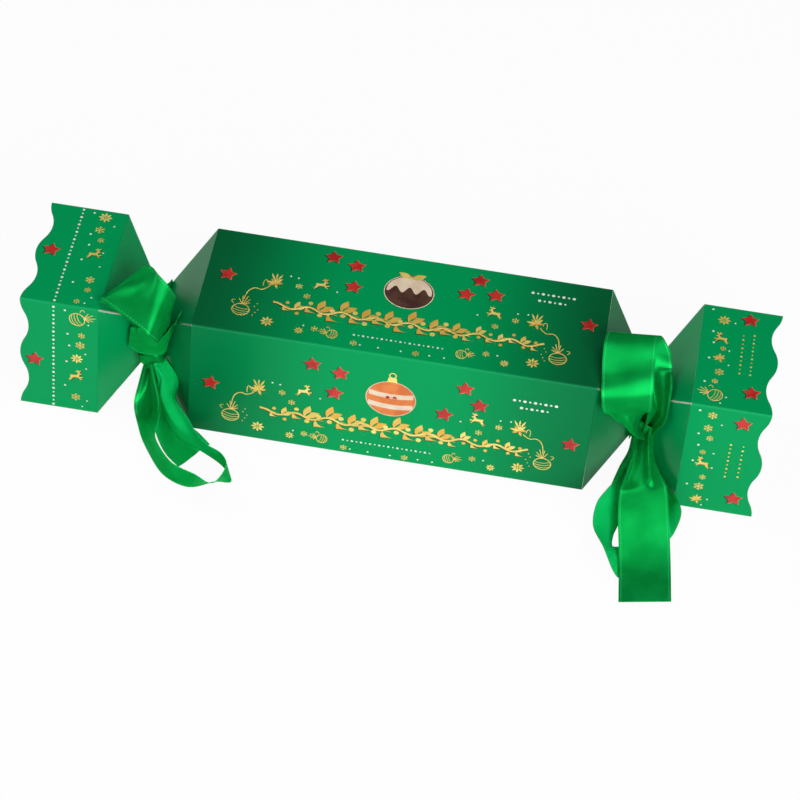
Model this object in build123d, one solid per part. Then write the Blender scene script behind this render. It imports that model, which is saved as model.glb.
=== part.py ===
from build123d import *

import os
from collections import namedtuple
from math import atan2, cos, degrees, hypot, sin

# Carton, in millimetres: X along the barrel, Z up, origin under its middle
SECTION = 64.0              # outside width and height of the square tube
BARREL_LENGTH = 178.0       # between the two barrel creases
NECK_LENGTH = 41.0          # barrel crease to sleeve crease, with the neck tied in
SLEEVE_LENGTH = 35.0        # sleeve crease to the peaks of the scalloped edge
WAIST_WIDTH = 17.0          # outside width of the neck at the ribbon
BOARD = 0.5                 # thickness of the folding board
CORNER_RADIUS = 0.8         # outside radius of the four long creases
SCALLOP_DEPTH = 3.8         # peak to valley of the scalloped edge
SCALLOPS_PER_PANEL = 2
GLUE_FLAP_WIDTH = 11.0
GLUE_FLAP_INSET = 4.0       # each end of a flap is set back from its panel's ends
FOLD_GAP = 0.06             # slack on each side of a crease
WINDOW_GAP = 0.15           # each neck plate is cut back this much at its slanted edges

# Satin ribbon
RIBBON_WIDTH = 23.0
RIBBON_THICKNESS = 0.5
STEPS_PER_RUNG = 4          # flats between two rungs of a strand
WRAP_REACH = 3.4            # the gathered wrap reaches this far to each side of the waist
WRAP_THICKNESS = 1.9        # over its pleats
WRAP_CLEARANCE = 0.3        # between the wrap and the neck plates
KNOT_SIZE = (10.4, 7.8, 8.4)
KNOT_ROUNDING = 3.2
KNOT_SEAT = 14.6            # neck axis to the back of the knot
KNOT_DROP = {"left": 4.0, "right": -1.0}    # knot centre below the neck axis
KNOT_SHIFT = {"left": 1.5, "right": 2.0}    # knot centre along +X from the waist

# Bag of treats
POUCH_LENGTH = 148.0
POUCH_WIDTH = 54.0
POUCH_HEIGHT = 38.0
POUCH_SHOULDER = 34.0       # length over which each end narrows to its seal
SEAL_LENGTH = 9.0
SEAL_THICKNESS = 1.0

SIDES = {"left": -1, "right": 1}
PANEL_TURNS = {"top": 0, "front": 90, "bottom": 180, "back": 270}

AXIS_HEIGHT = SECTION / 2
TUBE_AXIS = Axis((0, 0, AXIS_HEIGHT), (1, 0, 0))
BARREL_CREASE = BARREL_LENGTH / 2
WAIST_X = BARREL_CREASE + NECK_LENGTH / 2
SLEEVE_CREASE = BARREL_CREASE + NECK_LENGTH
SLEEVE_END = SLEEVE_CREASE + SLEEVE_LENGTH
NECK_INSET = (SECTION - WAIST_WIDTH) / 2
NECK_SLOPE = atan2(NECK_INSET, NECK_LENGTH / 2)

# One rung of a ribbon: its middle, the direction from selvedge to selvedge,
# and the share of the ribbon's width that is spread open there
Rung = namedtuple("Rung", "middle across spread")


def turned(shape, panel):
    """Turn a shape made for the top panel onto another panel of the tube."""
    return shape.rotate(TUBE_AXIS, PANEL_TURNS[panel])


def on_side(shape, side):
    """Mirror a shape made for the right end onto the left end."""
    return shape if side == "right" else mirror(shape, about=Plane.YZ)


def top_panel(start, end):
    """One panel of the tube, with half of the rounded crease at each long edge."""
    outside = RectangleRounded(SECTION, SECTION, CORNER_RADIUS)
    inside = RectangleRounded(SECTION - 2 * BOARD, SECTION - 2 * BOARD, CORNER_RADIUS - BOARD)
    quarter = make_face(Polyline((0, 0), (SECTION, SECTION), (-SECTION, SECTION), close=True))
    profile = Plane((start, 0, AXIS_HEIGHT), x_dir=(0, 1, 0), z_dir=(1, 0, 0)) * ((outside - inside) & quarter)
    return extrude(profile, end - start)


def scallop_blank():
    """A sleeve's outline seen from above, with a wavy edge of tangent arcs."""
    pitch = SECTION / SCALLOPS_PER_PANEL
    mean = SLEEVE_END - SCALLOP_DEPTH / 2
    start = -SECTION / 2 - pitch / 4
    arcs = []
    for count in range(2 * SCALLOPS_PER_PANEL + 1):
        low = start + count * pitch / 2
        bulge = SCALLOP_DEPTH / 2 if count % 2 == 0 else -SCALLOP_DEPTH / 2
        arcs += ThreePointArc((mean, low), (mean + bulge, low + pitch / 4), (mean, low + pitch / 2)).edges()
    finish = start + (2 * SCALLOPS_PER_PANEL + 1) * pitch / 2
    back = SLEEVE_CREASE - SLEEVE_LENGTH
    rest = Polyline((mean, finish), (back, finish), (back, start), (mean, start))
    return extrude(make_face(arcs + rest.edges()), SECTION + 1)


def glue_flap(start, end):
    """The strip that closes the tube, glued inside the back panel at its lower edge."""
    inner = SECTION / 2 - BOARD
    flap = Box(end - start - 2 * GLUE_FLAP_INSET, BOARD, GLUE_FLAP_WIDTH, align=(Align.CENTER, Align.MAX, Align.MIN))
    return Pos((start + end) / 2, inner, CORNER_RADIUS) * flap


def inner_taper_top():
    """The neck plate from the barrel's top crease down to the waist, on the right end.

    Its crease end is upright, so it meets the barrel face to face, and its waist
    end is square to the plate, so the fold can open flat.
    """
    half = SECTION / 2
    along = (cos(NECK_SLOPE), -sin(NECK_SLOPE))
    inward = (-sin(NECK_SLOPE), -cos(NECK_SLOPE))
    crease_x = BARREL_CREASE + FOLD_GAP
    crease_outer = half - FOLD_GAP * sin(NECK_SLOPE) / cos(NECK_SLOPE)
    crease_inner = crease_outer - BOARD / cos(NECK_SLOPE)
    waist_outer = (WAIST_X - FOLD_GAP * along[0], WAIST_WIDTH / 2 - FOLD_GAP * along[1])
    waist_inner = (waist_outer[0] + BOARD * inward[0], waist_outer[1] + BOARD * inward[1])

    def end_face(outer, inner):
        wide, narrow = outer[1] - WINDOW_GAP, inner[1] - WINDOW_GAP
        corners = [(outer[0], -wide, outer[1]), (outer[0], wide, outer[1]),
                   (inner[0], narrow, inner[1]), (inner[0], -narrow, inner[1])]
        return make_face(Polyline(*[(x, y, z + AXIS_HEIGHT) for x, y, z in corners], close=True))

    crease = end_face((crease_x, crease_outer), (crease_x, crease_inner))
    waist = end_face(waist_outer, waist_inner)
    return loft([crease, waist], ruled=True)


def outer_taper_top():
    """The neck plate from the waist up to the sleeve's top crease, on the right end."""
    return mirror(inner_taper_top(), about=Plane((WAIST_X, 0, 0), z_dir=(1, 0, 0)))


def wrap_ring(reach, radius_rise):
    """A solid spool of square section that follows the neck, grown by a rise."""
    stations = [(-reach, reach), (0.0, 0.0), (reach, reach)]
    slope = sin(NECK_SLOPE) / cos(NECK_SLOPE)
    sections = []
    for shift, distance in stations:
        width = WAIST_WIDTH + 2 * (distance * slope + radius_rise)
        plane = Plane((WAIST_X + shift, 0, AXIS_HEIGHT), x_dir=(0, 1, 0), z_dir=(1, 0, 0))
        sections.append(plane * Rectangle(width, width))
    return loft(sections, ruled=True)


def ribbon_wrap():
    """The gathered turn of ribbon that lines the groove of the right neck."""
    clearance = WRAP_CLEARANCE / cos(NECK_SLOPE)
    thickness = WRAP_THICKNESS / cos(NECK_SLOPE)
    return wrap_ring(WRAP_REACH, clearance + thickness) - wrap_ring(WRAP_REACH, clearance)


def ribbon_knot(side):
    """The tight knot in front of the neck, seated in the groove of the wrap."""
    place = Pos(SIDES[side] * WAIST_X + KNOT_SHIFT[side],
                -KNOT_SEAT - KNOT_SIZE[1] / 2,
                AXIS_HEIGHT - KNOT_DROP[side])
    rise = (WRAP_CLEARANCE + WRAP_THICKNESS) / cos(NECK_SLOPE)
    groove = on_side(wrap_ring(KNOT_SIZE[0], rise), side)
    return place * fillet(Box(*KNOT_SIZE).edges(), KNOT_ROUNDING) - groove


def curve_between(before, first, second, after, share):
    """A point on the smooth curve from the first to the second of four points in a row."""
    outward = (second - before) * 0.5
    inward = (after - first) * 0.5
    reach = (second - first).length
    outward = outward * min(1.0, reach / max(outward.length, 1e-6))
    inward = inward * min(1.0, reach / max(inward.length, 1e-6))
    square, cube = share ** 2, share ** 3
    return (first * (2 * cube - 3 * square + 1) + outward * (cube - 2 * square + share)
            + second * (3 * square - 2 * cube) + inward * (cube - square))


def smoothed(points):
    """The same curve with a few more points between each two of the given ones."""
    last = len(points) - 1
    curve = [points[0]]
    for index in range(last):
        before, after = points[max(index - 1, 0)], points[min(index + 2, last)]
        for step in range(1, STEPS_PER_RUNG + 1):
            share = step / STEPS_PER_RUNG
            curve.append(curve_between(before, points[index], points[index + 1], after, share))
    return curve


def ribbon_strand(side, rungs):
    """A run of flat ribbon through its rungs, cut off where it enters the knot.

    The rungs are those of a tube 64 mm wide with necks of 41 mm, and the run grows with the carton.
    """
    neck_scale = NECK_LENGTH / 41
    section_scale = SECTION / 64
    selvedges = ([], [])
    for rung in rungs:
        shift, forward, height = rung.middle
        middle = Vector(SIDES[side] * WAIST_X + shift * neck_scale, forward * section_scale,
                        height * section_scale)
        half_width = Vector(*rung.across).normalized() * (RIBBON_WIDTH * rung.spread / 2)
        selvedges[0].append(middle - half_width)
        selvedges[1].append(middle + half_width)
    near, far = smoothed(selvedges[0]), smoothed(selvedges[1])
    last = len(near) - 1
    sections = []
    for index in range(len(near)):
        ahead, behind = min(index + 1, last), max(index - 1, 0)
        run = near[ahead] + far[ahead] - near[behind] - far[behind]
        half_thick = run.cross(far[index] - near[index]).normalized() * (RIBBON_THICKNESS / 2)
        corners = [near[index] - half_thick, far[index] - half_thick,
                   far[index] + half_thick, near[index] + half_thick]
        sections.append(make_face(Polyline(*corners, close=True)))
    return loft(sections, ruled=True) - ribbon_knot(side)


def treat_pouch():
    """A filled pillow bag lying on the barrel's floor, with a flat seal at each end."""
    seam_height = BOARD + POUCH_HEIGHT / 2
    body_half = POUCH_LENGTH / 2 - SEAL_LENGTH
    sections = []
    for x, height in [(-body_half, SEAL_THICKNESS), (POUCH_SHOULDER - body_half, POUCH_HEIGHT),
                      (body_half - POUCH_SHOULDER, POUCH_HEIGHT), (body_half, SEAL_THICKNESS)]:
        plane = Plane((x, 0, seam_height), x_dir=(0, 1, 0), z_dir=(1, 0, 0))
        sections.append(plane * RectangleRounded(POUCH_WIDTH, height, 0.45 * height))
    seal = Box(SEAL_LENGTH, POUCH_WIDTH, SEAL_THICKNESS)
    seal_x = body_half + SEAL_LENGTH / 2
    return loft(sections, ruled=True) + Pos(-seal_x, 0, seam_height) * seal + Pos(seal_x, 0, seam_height) * seal


# Left bow: a flattened loop that leans over the sleeve crease, a long loop
# that lies on the table in front of the barrel, a short tail inside it, and
# the turn over the knot, folded flat with its corner drawn out to a point
LEFT_UPPER_LOOP = [
    Rung((3.0, -19.5, 31.0), (2, 3, 3), 0.20),
    Rung((4.6, -18.6, 41.5), (3, 5, 8), 0.40),
    Rung((6.4, -19.6, 49.5), (4, 4, 9), 0.52),
    Rung((8.6, -25.0, 56.5), (4, 14, 13), 0.88),
    Rung((8.2, -28.0, 61.8), (5, 15, 14), 0.95),
    Rung((5.6, -28.6, 66.0), (4, 17, 15), 1.04),
    Rung((1.4, -27.0, 69.0), (2, 20, 18), 1.12),
    Rung((-5.6, -23.2, 71.0), (8, 16, 10), 1.08),
    Rung((-11.9, -19.5, 70.5), (8, 10, 3), 1.12),
    Rung((-13.7, -18.6, 68.7), (8, 10, 3), 1.12),
    Rung((-10.9, -18.2, 66.8), (8, 10, 3), 1.10),
    Rung((-5.5, -19.0, 59.5), (11, 16, 8), 0.78),
    Rung((-3.0, -18.6, 49.0), (7, 6, 8), 0.48),
    Rung((-0.8, -18.8, 39.5), (4, 3, 5), 0.30),
    Rung((0.5, -19.2, 31.0), (3, 3, 2), 0.20),
]
LEFT_HANGING_LOOP = [
    Rung((1.0, -20.5, 25.5), (3, -1, 1), 0.20),
    Rung((2.2, -27.0, 18.0), (12, -5, 7), 0.50),
    Rung((3.3, -34.5, 13.0), (13, -7, 10), 0.80),
    Rung((5.2, -45.0, 10.4), (9, -9, 15), 0.95),
    Rung((8.2, -54.4, 10.2), (6, -11, 18), 1.00),
    Rung((18.2, -68.2, 10.6), (5, -10, 19), 1.00),
    Rung((30.0, -73.0, 10.4), (4, -10, 19), 1.00),
    Rung((39.6, -70.6, 9.0), (1, -13, 13), 1.00),
    Rung((45.2, -65.8, 10.6), (-1, -10, 19), 1.00),
    Rung((40.8, -58.6, 11.2), (1, -11, 19), 1.00),
    Rung((31.2, -53.6, 12.2), (3, -12, 18), 1.00),
    Rung((20.7, -46.3, 13.3), (8, -8, 17), 0.87),
    Rung((11.0, -33.0, 17.2), (5, -8, 10), 0.60),
    Rung((9.2, -25.4, 22.0), (6, -2, 3), 0.42),
    Rung((4.5, -20.5, 27.5), (2, -1, 2), 0.20),
]
LEFT_TAIL = [
    Rung((3.0, -19.5, 25.5), (4, 1, 0), 0.20),
    Rung((7.5, -25.0, 12.0), (7, 4, 1), 0.35),
    Rung((13.2, -36.0, 5.0), (10, 8, 0), 0.62),
    Rung((20.2, -43.0, 1.6), (11, 14, 0), 0.85),
    Rung((26.8, -48.6, 0.7), (12, 18, 0), 0.86),
]
LEFT_FOLD = [
    Rung((-8.4, -22.8, 41.8), (1, 1, 16), 0.50),
    Rung((-2.8, -22.6, 37.0), (1, 0, 18), 0.96),
    Rung((3.4, -22.7, 36.2), (2, 0, 14), 0.74),
    Rung((7.4, -22.9, 39.3), (0, 0, 14), 0.62),
    Rung((9.6, -22.9, 47.5), (1, 0, 10), 0.40),
    Rung((11.6, -23.4, 54.0), (2, 2, 6), 0.16),
    Rung((13.7, -18.1, 58.0), (2, 2, 3), 0.02),
]

# Right bow: a hollow loop that leans over the barrel's end, a round loop that
# lies on the table, and a long tail across it
RIGHT_UPPER_LOOP = [
    Rung((0.5, -20.5, 33.5), (4, 3, -1), 0.22),
    Rung((-3.3, -26.0, 39.5), (12, 8, -3), 0.50),
    Rung((-5.2, -30.0, 46.5), (19, 9, -3), 0.76),
    Rung((-6.4, -31.8, 54.0), (21, 7, -2), 0.96),
    Rung((-7.4, -30.0, 61.0), (21, 6, -2), 1.00),
    Rung((-8.2, -25.0, 66.6), (22, 5, -1), 1.00),
    Rung((-9.0, -18.0, 71.0), (22, 4, 0), 1.00),
    Rung((-9.4, -11.0, 74.0), (22, 4, 0), 1.00),
    Rung((-8.8, -6.0, 74.6), (22, 3, 0), 1.00),
    Rung((-6.6, -4.0, 72.2), (22, 2, -1), 1.00),
    Rung((-2.8, -5.6, 67.0), (22, 0, -2), 1.00),
    Rung((0.3, -9.5, 61.5), (20, 0, -5), 0.90),
    Rung((4.3, -19.0, 57.0), (16, 0, -6), 0.60),
    Rung((6.7, -24.3, 47.8), (9, 0, -3), 0.38),
    Rung((5.8, -22.5, 40.5), (6, 0, -1), 0.28),
    Rung((4.4, -20.5, 34.0), (5, 0, -1), 0.20),
]
RIGHT_HANGING_LOOP = [
    Rung((0.6, -20.3, 31.0), (3, 2, -1), 0.20),
    Rung((0.4, -25.2, 22.0), (5, 5, -7), 0.30),
    Rung((-2.0, -29.5, 14.2), (6, 7, -11), 0.55),
    Rung((-4.6, -41.0, 10.6), (8, 8, -16), 0.90),
    Rung((-7.6, -53.5, 10.6), (9, 6, -16), 1.00),
    Rung((-8.4, -63.5, 9.9), (8, 10, -15), 1.00),
    Rung((-5.2, -71.2, 8.9), (4, 13.5, -14), 1.00),
    Rung((3.2, -71.0, 1.8), (3, 22, -0.5), 1.00),
    Rung((7.6, -60.5, 0.9), (-8, 21, 0), 1.00),
    Rung((10.8, -50.5, 1.6), (-15, 15, -2), 1.00),
    Rung((15.0, -44.4, 2.6), (-12, 14, -3), 1.00),
    Rung((19.6, -41.0, 8.0), (-7, 13, -12), 1.00),
    Rung((14.2, -30.2, 6.4), (-6, 5, -8), 0.54),
    Rung((6.5, -21.5, 13.0), (-6, 3, -3), 0.35),
    Rung((4.2, -17.6, 31.0), (-4, 1, -1), 0.20),
]
RIGHT_TAIL = [
    Rung((3.0, -21.3, 32.0), (5, 2, 0), 0.22),
    Rung((3.8, -30.1, 26.9), (8, 2, 0), 0.40),
    Rung((4.7, -36.3, 23.2), (13, 4, 0), 0.62),
    Rung((6.0, -43.8, 19.2), (20, 7, 0), 0.92),
    Rung((7.7, -53.6, 14.1), (21, 7, 0), 0.99),
    Rung((10.2, -66.6, 8.5), (21, 7, 0), 1.00),
    Rung((12.2, -79.8, 4.7), (22, 6, 0), 1.00),
    Rung((13.9, -94.6, 3.2), (22, 5, 0), 1.00),
]
STRANDS = {
    "left": {"upper_loop": LEFT_UPPER_LOOP, "hanging_loop": LEFT_HANGING_LOOP, "tail": LEFT_TAIL,
             "fold": LEFT_FOLD},
    "right": {"upper_loop": RIGHT_UPPER_LOOP, "hanging_loop": RIGHT_HANGING_LOOP, "tail": RIGHT_TAIL},
}


def build_nodes():
    """Make every sub-part, keyed by its node's name."""
    nodes = {}
    sleeve_top = top_panel(SLEEVE_CREASE, SLEEVE_END) & scallop_blank()
    for panel in PANEL_TURNS:
        nodes[f"barrel_{panel}_panel"] = turned(top_panel(-BARREL_CREASE, BARREL_CREASE), panel)
    nodes["barrel_glue_flap"] = glue_flap(-BARREL_CREASE, BARREL_CREASE)
    nodes["treat_pouch"] = treat_pouch()
    for side in SIDES:
        for panel in PANEL_TURNS:
            nodes[f"{side}_inner_taper_{panel}"] = on_side(turned(inner_taper_top(), panel), side)
            nodes[f"{side}_outer_taper_{panel}"] = on_side(turned(outer_taper_top(), panel), side)
            nodes[f"{side}_sleeve_{panel}_panel"] = on_side(turned(sleeve_top, panel), side)
        flap = glue_flap(SLEEVE_CREASE, SLEEVE_END - SCALLOP_DEPTH)
        nodes[f"{side}_sleeve_glue_flap"] = on_side(flap, side)
        nodes[f"{side}_ribbon_wrap"] = on_side(ribbon_wrap(), side)
        nodes[f"{side}_ribbon_knot"] = ribbon_knot(side)
        for name, rungs in STRANDS[side].items():
            nodes[f"{side}_ribbon_{name}"] = ribbon_strand(side, rungs)
    return nodes


def main():
    os.makedirs("parts", exist_ok=True)
    for name, shape in build_nodes().items():
        export_step(shape, f"parts/{name}.step")
    slant = hypot(NECK_INSET, NECK_LENGTH / 2)
    print(f"neck slope {degrees(NECK_SLOPE):.3f} degrees, plate slant {slant:.3f} mm")
    print(f"waist at x = {WAIST_X} mm, sleeve moves out {2 * slant - NECK_LENGTH:.3f} mm")


if __name__ == "__main__":
    main()
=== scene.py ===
"""Looks of the cracker-shaped carton: printed board, satin bows, the bag of treats and the studio."""

import logging
import math
from collections.abc import Callable
from dataclasses import dataclass, field
from enum import Enum, auto

import bpy
from mathutils import Matrix, Vector


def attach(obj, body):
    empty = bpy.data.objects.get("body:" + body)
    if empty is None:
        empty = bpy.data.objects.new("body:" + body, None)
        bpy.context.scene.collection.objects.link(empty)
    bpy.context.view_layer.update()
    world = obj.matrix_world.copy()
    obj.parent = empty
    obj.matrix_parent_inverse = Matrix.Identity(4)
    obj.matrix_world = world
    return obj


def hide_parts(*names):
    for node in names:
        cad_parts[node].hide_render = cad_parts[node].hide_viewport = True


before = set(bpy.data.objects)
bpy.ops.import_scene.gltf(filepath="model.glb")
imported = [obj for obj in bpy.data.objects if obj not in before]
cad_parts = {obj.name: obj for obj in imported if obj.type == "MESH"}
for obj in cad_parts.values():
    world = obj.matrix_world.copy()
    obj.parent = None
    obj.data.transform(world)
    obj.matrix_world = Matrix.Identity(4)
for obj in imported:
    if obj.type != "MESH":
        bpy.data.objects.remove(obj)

LOG = logging.getLogger("carton")
Colour = tuple[float, float, float]
Flat = tuple[float, float]
Flats = tuple[Flat, ...]
Spot = tuple[float, float, float]
Socket = bpy.types.NodeSocket
Material = bpy.types.Material
Piece = bpy.types.Object

# Lengths are in millimetres unless metres are named, and MM makes them metres
MM = 0.001
HALF_SECTION = 32
BARREL_CREASE = 89
SLEEVE_CREASE = 130
WAIST_PLACE = 109.5
RIBBON_WIDTH = 23.0
RIBBON_THICKNESS = 0.28
FILL_HALF = 0.012


class Side(Enum):
    """The carton's two ends, by the sign of X."""

    LEFT = -1
    RIGHT = 1

    @property
    def word(self) -> str:
        """The end's name as the bodies use it."""
        return self.name.lower()


class Panel(Enum):
    """The four faces of the tube: outward direction and the print's upward direction."""

    TOP = ((0, 0, 1), (0, 1, 0))
    FRONT = ((0, -1, 0), (0, 0, 1))
    BACK = ((0, 1, 0), (0, 0, -1))
    BOTTOM = ((0, 0, -1), (0, -1, 0))

    @property
    def word(self) -> str:
        """The face's name as the nodes use it."""
        return self.name.lower()

    def place(self, lift: float) -> Matrix:
        """Matrix from a flat print (X along the carton, Y up the face) to this face.

        Args:
            lift: height of the print's middle above the board, in metres.

        Returns:
            The placing matrix.
        """
        outward, upward = Vector(self.value[0]), Vector(self.value[1])
        along = upward.cross(outward)
        middle = Vector((0, 0, HALF_SECTION * MM)) + outward * (HALF_SECTION * MM + lift)
        return Matrix.LocRotScale(middle, Matrix((along, upward, outward)).transposed(), None)


def clear_selection() -> None:
    """Leave edit mode and deselect everything."""
    if bpy.context.object and bpy.context.object.mode != "OBJECT":
        bpy.ops.object.mode_set(mode="OBJECT")
    bpy.ops.object.select_all(action="DESELECT")


def take(piece: Piece) -> None:
    """Select one object alone and make it active.

    Args:
        piece: the object.
    """
    clear_selection()
    piece.select_set(True)
    bpy.context.view_layer.objects.active = piece


def modify(piece: Piece, kind: str, **settings: object) -> None:
    """Add a modifier to a piece and apply it.

    Args:
        piece: the object to change.
        kind: the modifier's type.
        settings: its properties.
    """
    take(piece)
    modifier = piece.modifiers.new(kind.title(), kind)
    for name, value in settings.items():
        setattr(modifier, name, value)
    bpy.ops.object.modifier_apply(modifier=modifier.name)


def smooth_shade(piece: Piece, degrees: float) -> None:
    """Shade a piece smooth, with edges sharper than an angle kept."""
    take(piece)
    bpy.ops.object.shade_smooth_by_angle(angle=math.radians(degrees))


def lay_grid(name: str, columns: int, rows: int, shape: Callable[[int, int], Vector]) -> Piece:
    """Add a grid and bend it to a shape.

    Args:
        name: the piece's name.
        columns: how many faces a row has.
        rows: how many rows of faces there are.
        shape: gives the point for a row and a column, in millimetres.

    Returns:
        The bent grid.
    """
    clear_selection()
    bpy.ops.mesh.primitive_grid_add(x_subdivisions=columns, y_subdivisions=rows, size=1.0)
    piece = bpy.context.object
    piece.name = name
    for index, vertex in enumerate(piece.data.vertices):
        vertex.co = shape(*divmod(index, columns + 1)) * MM
    return piece


def close_seam(piece: Piece, cap_ends: bool = False) -> None:
    """Merge the seam of a grid that is rolled into a tube, and turn its faces outwards.

    Args:
        piece: the rolled grid.
        cap_ends: whether its open ends are closed.
    """
    take(piece)
    bpy.ops.object.mode_set(mode="EDIT")
    bpy.ops.mesh.select_all(action="SELECT")
    bpy.ops.mesh.remove_doubles(threshold=1e-6)
    if cap_ends:
        bpy.ops.mesh.select_all(action="DESELECT")
        bpy.ops.mesh.select_non_manifold()
        bpy.ops.mesh.edge_face_add()
        bpy.ops.mesh.select_all(action="SELECT")
    bpy.ops.mesh.normals_make_consistent(inside=False)
    bpy.ops.object.mode_set(mode="OBJECT")


def chart_ribbon(piece: Piece, columns: int, place: Callable[[int, int], Flat]) -> None:
    """Lay out a grid's UV map for the ribbon's weave.

    Args:
        piece: the grid.
        columns: how many faces a row has.
        place: gives the share across the ribbon, and the widths along it, for a row and a column.
    """
    chart = piece.data.uv_layers[0]
    chart.name = "ribbon"
    for loop in piece.data.loops:
        chart.data[loop.index].uv = place(*divmod(loop.vertex_index, columns + 1))


def finish_ribbon(piece: Piece, side: Side, name: str, finishes: list[Material], offset: float = 0.0) -> None:
    """Give a bent sheet the ribbon's thickness and finish, and let it stand for its node.

    Args:
        piece: the sheet.
        side: the bow's end.
        name: the piece's name in the bow.
        finishes: one material, or one for each of its two faces.
        offset: the side of the sheet that the thickness is on, from -1 to 1.
    """
    for finish in finishes:
        piece.data.materials.append(finish)
    modify(piece, "SOLIDIFY", thickness=RIBBON_THICKNESS * MM, offset=offset,
           material_offset=len(finishes) - 1)
    smooth_shade(piece, 60)
    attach(piece, f"{side.word}_ribbon")
    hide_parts(f"{side.word}_ribbon_{name}")


def ease(value: float, low: float, high: float) -> float:
    """A smooth step from 0 at low to 1 at high."""
    share = min(1.0, max(0.0, (value - low) / (high - low)))
    return share * share * (3 - 2 * share)


def squared(angle: float, power: float) -> float:
    """Reach of a rounded square at an angle, where its flat sides are 1 away; a higher power is squarer."""
    return (abs(math.cos(angle)) ** power + abs(math.sin(angle)) ** power) ** (-1 / power)


def polar(middle: Flat, reach: float, angle: float) -> Flat:
    """The point at a reach and an angle, in radians, from a middle."""
    return middle[0] + reach * math.cos(angle), middle[1] + reach * math.sin(angle)


class Nodes:
    """Lays out the nodes of one material."""

    def __init__(self, name: str) -> None:
        """Start a material with a Principled shader.

        Args:
            name: the material's name.
        """
        self.material = bpy.data.materials.new(name)
        self.material.use_nodes = True
        self.tree = self.material.node_tree
        self.tree.nodes.clear()
        self.output = self.tree.nodes.new("ShaderNodeOutputMaterial")
        self.shader = self.tree.nodes.new("ShaderNodeBsdfPrincipled")
        self.join(self.shader.outputs["BSDF"], self.output.inputs["Surface"])

    def join(self, source: Socket, target: Socket) -> None:
        """Link one socket to another."""
        self.tree.links.new(source, target)

    def add(self, kind: str, inputs: dict | None = None, **settings: object) -> bpy.types.Node:
        """Add a node.

        Args:
            kind: the node's type, without its ShaderNode prefix.
            inputs: values or sockets for its inputs.
            settings: its properties.

        Returns:
            The new node.
        """
        node = self.tree.nodes.new("ShaderNode" + kind)
        for name, value in settings.items():
            setattr(node, name, value)
        for name, value in (inputs or {}).items():
            self.feed(node.inputs[name], value)
        return node

    def feed(self, target: Socket, value: object) -> None:
        """Link a socket to a target, or set the target's value.

        Args:
            target: the input.
            value: a socket, or a value for the input.
        """
        if isinstance(value, Socket):
            self.join(value, target)
        elif isinstance(value, tuple) and len(value) == 3 and target.type == "RGBA":
            target.default_value = (*value, 1.0)
        else:
            target.default_value = value

    def math(self, operation: str, first: object, second: object = 0.0, clamp: bool = False) -> Socket:
        """A Math node's result."""
        node = self.add("Math", {0: first, 1: second}, operation=operation, use_clamp=clamp)
        return node.outputs[0]

    def times(self, first: object, second: object) -> Socket:
        """A product."""
        return self.math("MULTIPLY", first, second)

    def less(self, first: object, second: object) -> Socket:
        """A difference."""
        return self.math("SUBTRACT", first, second)

    def step(self, value: object, low: float, high: float) -> Socket:
        """A smooth step from 0 at low to 1 at high."""
        names = {"Value": value, "From Min": low, "From Max": high}
        return self.add("MapRange", names, interpolation_type="SMOOTHSTEP").outputs[0]

    def rise(self, value: object, span: Flat) -> Socket:
        """A smooth step from 0 to 1 over a span in millimetres."""
        return self.step(value, span[0] * MM, span[1] * MM)

    def fall(self, value: object, span: Flat) -> Socket:
        """A smooth step from 1 to 0 over a span in millimetres."""
        return self.less(1.0, self.rise(value, span))

    def mix(self, share: object, first: object, second: object) -> Socket:
        """A colour between two colours.

        Args:
            share: how much of the second colour is in it.
            first: the first colour.
            second: the second colour.

        Returns:
            The mixed colour.
        """
        node = self.tree.nodes.new("ShaderNodeMix")
        node.data_type = "RGBA"
        for index, value in ((0, share), (6, first), (7, second)):
            self.feed(node.inputs[index], value)
        return node.outputs[2]

    def noise(self, where: object, scale: float, detail: float = 2.0) -> Socket:
        """Soft noise at a scale."""
        return self.add("TexNoise", {"Vector": where, "Scale": scale, "Detail": detail}).outputs[0]

    def bump(self, height: object, strength: float, distance: float) -> None:
        """Give the shader a bump from a height."""
        node = self.add("Bump", {"Height": height, "Strength": strength, "Distance": distance})
        self.join(node.outputs[0], self.shader.inputs["Normal"])

    def set(self, **values: object) -> None:
        """Set the shader's inputs; an underscore stands for a space."""
        for name, value in values.items():
            self.feed(self.shader.inputs[name.replace("_", " ")], value)


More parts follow.
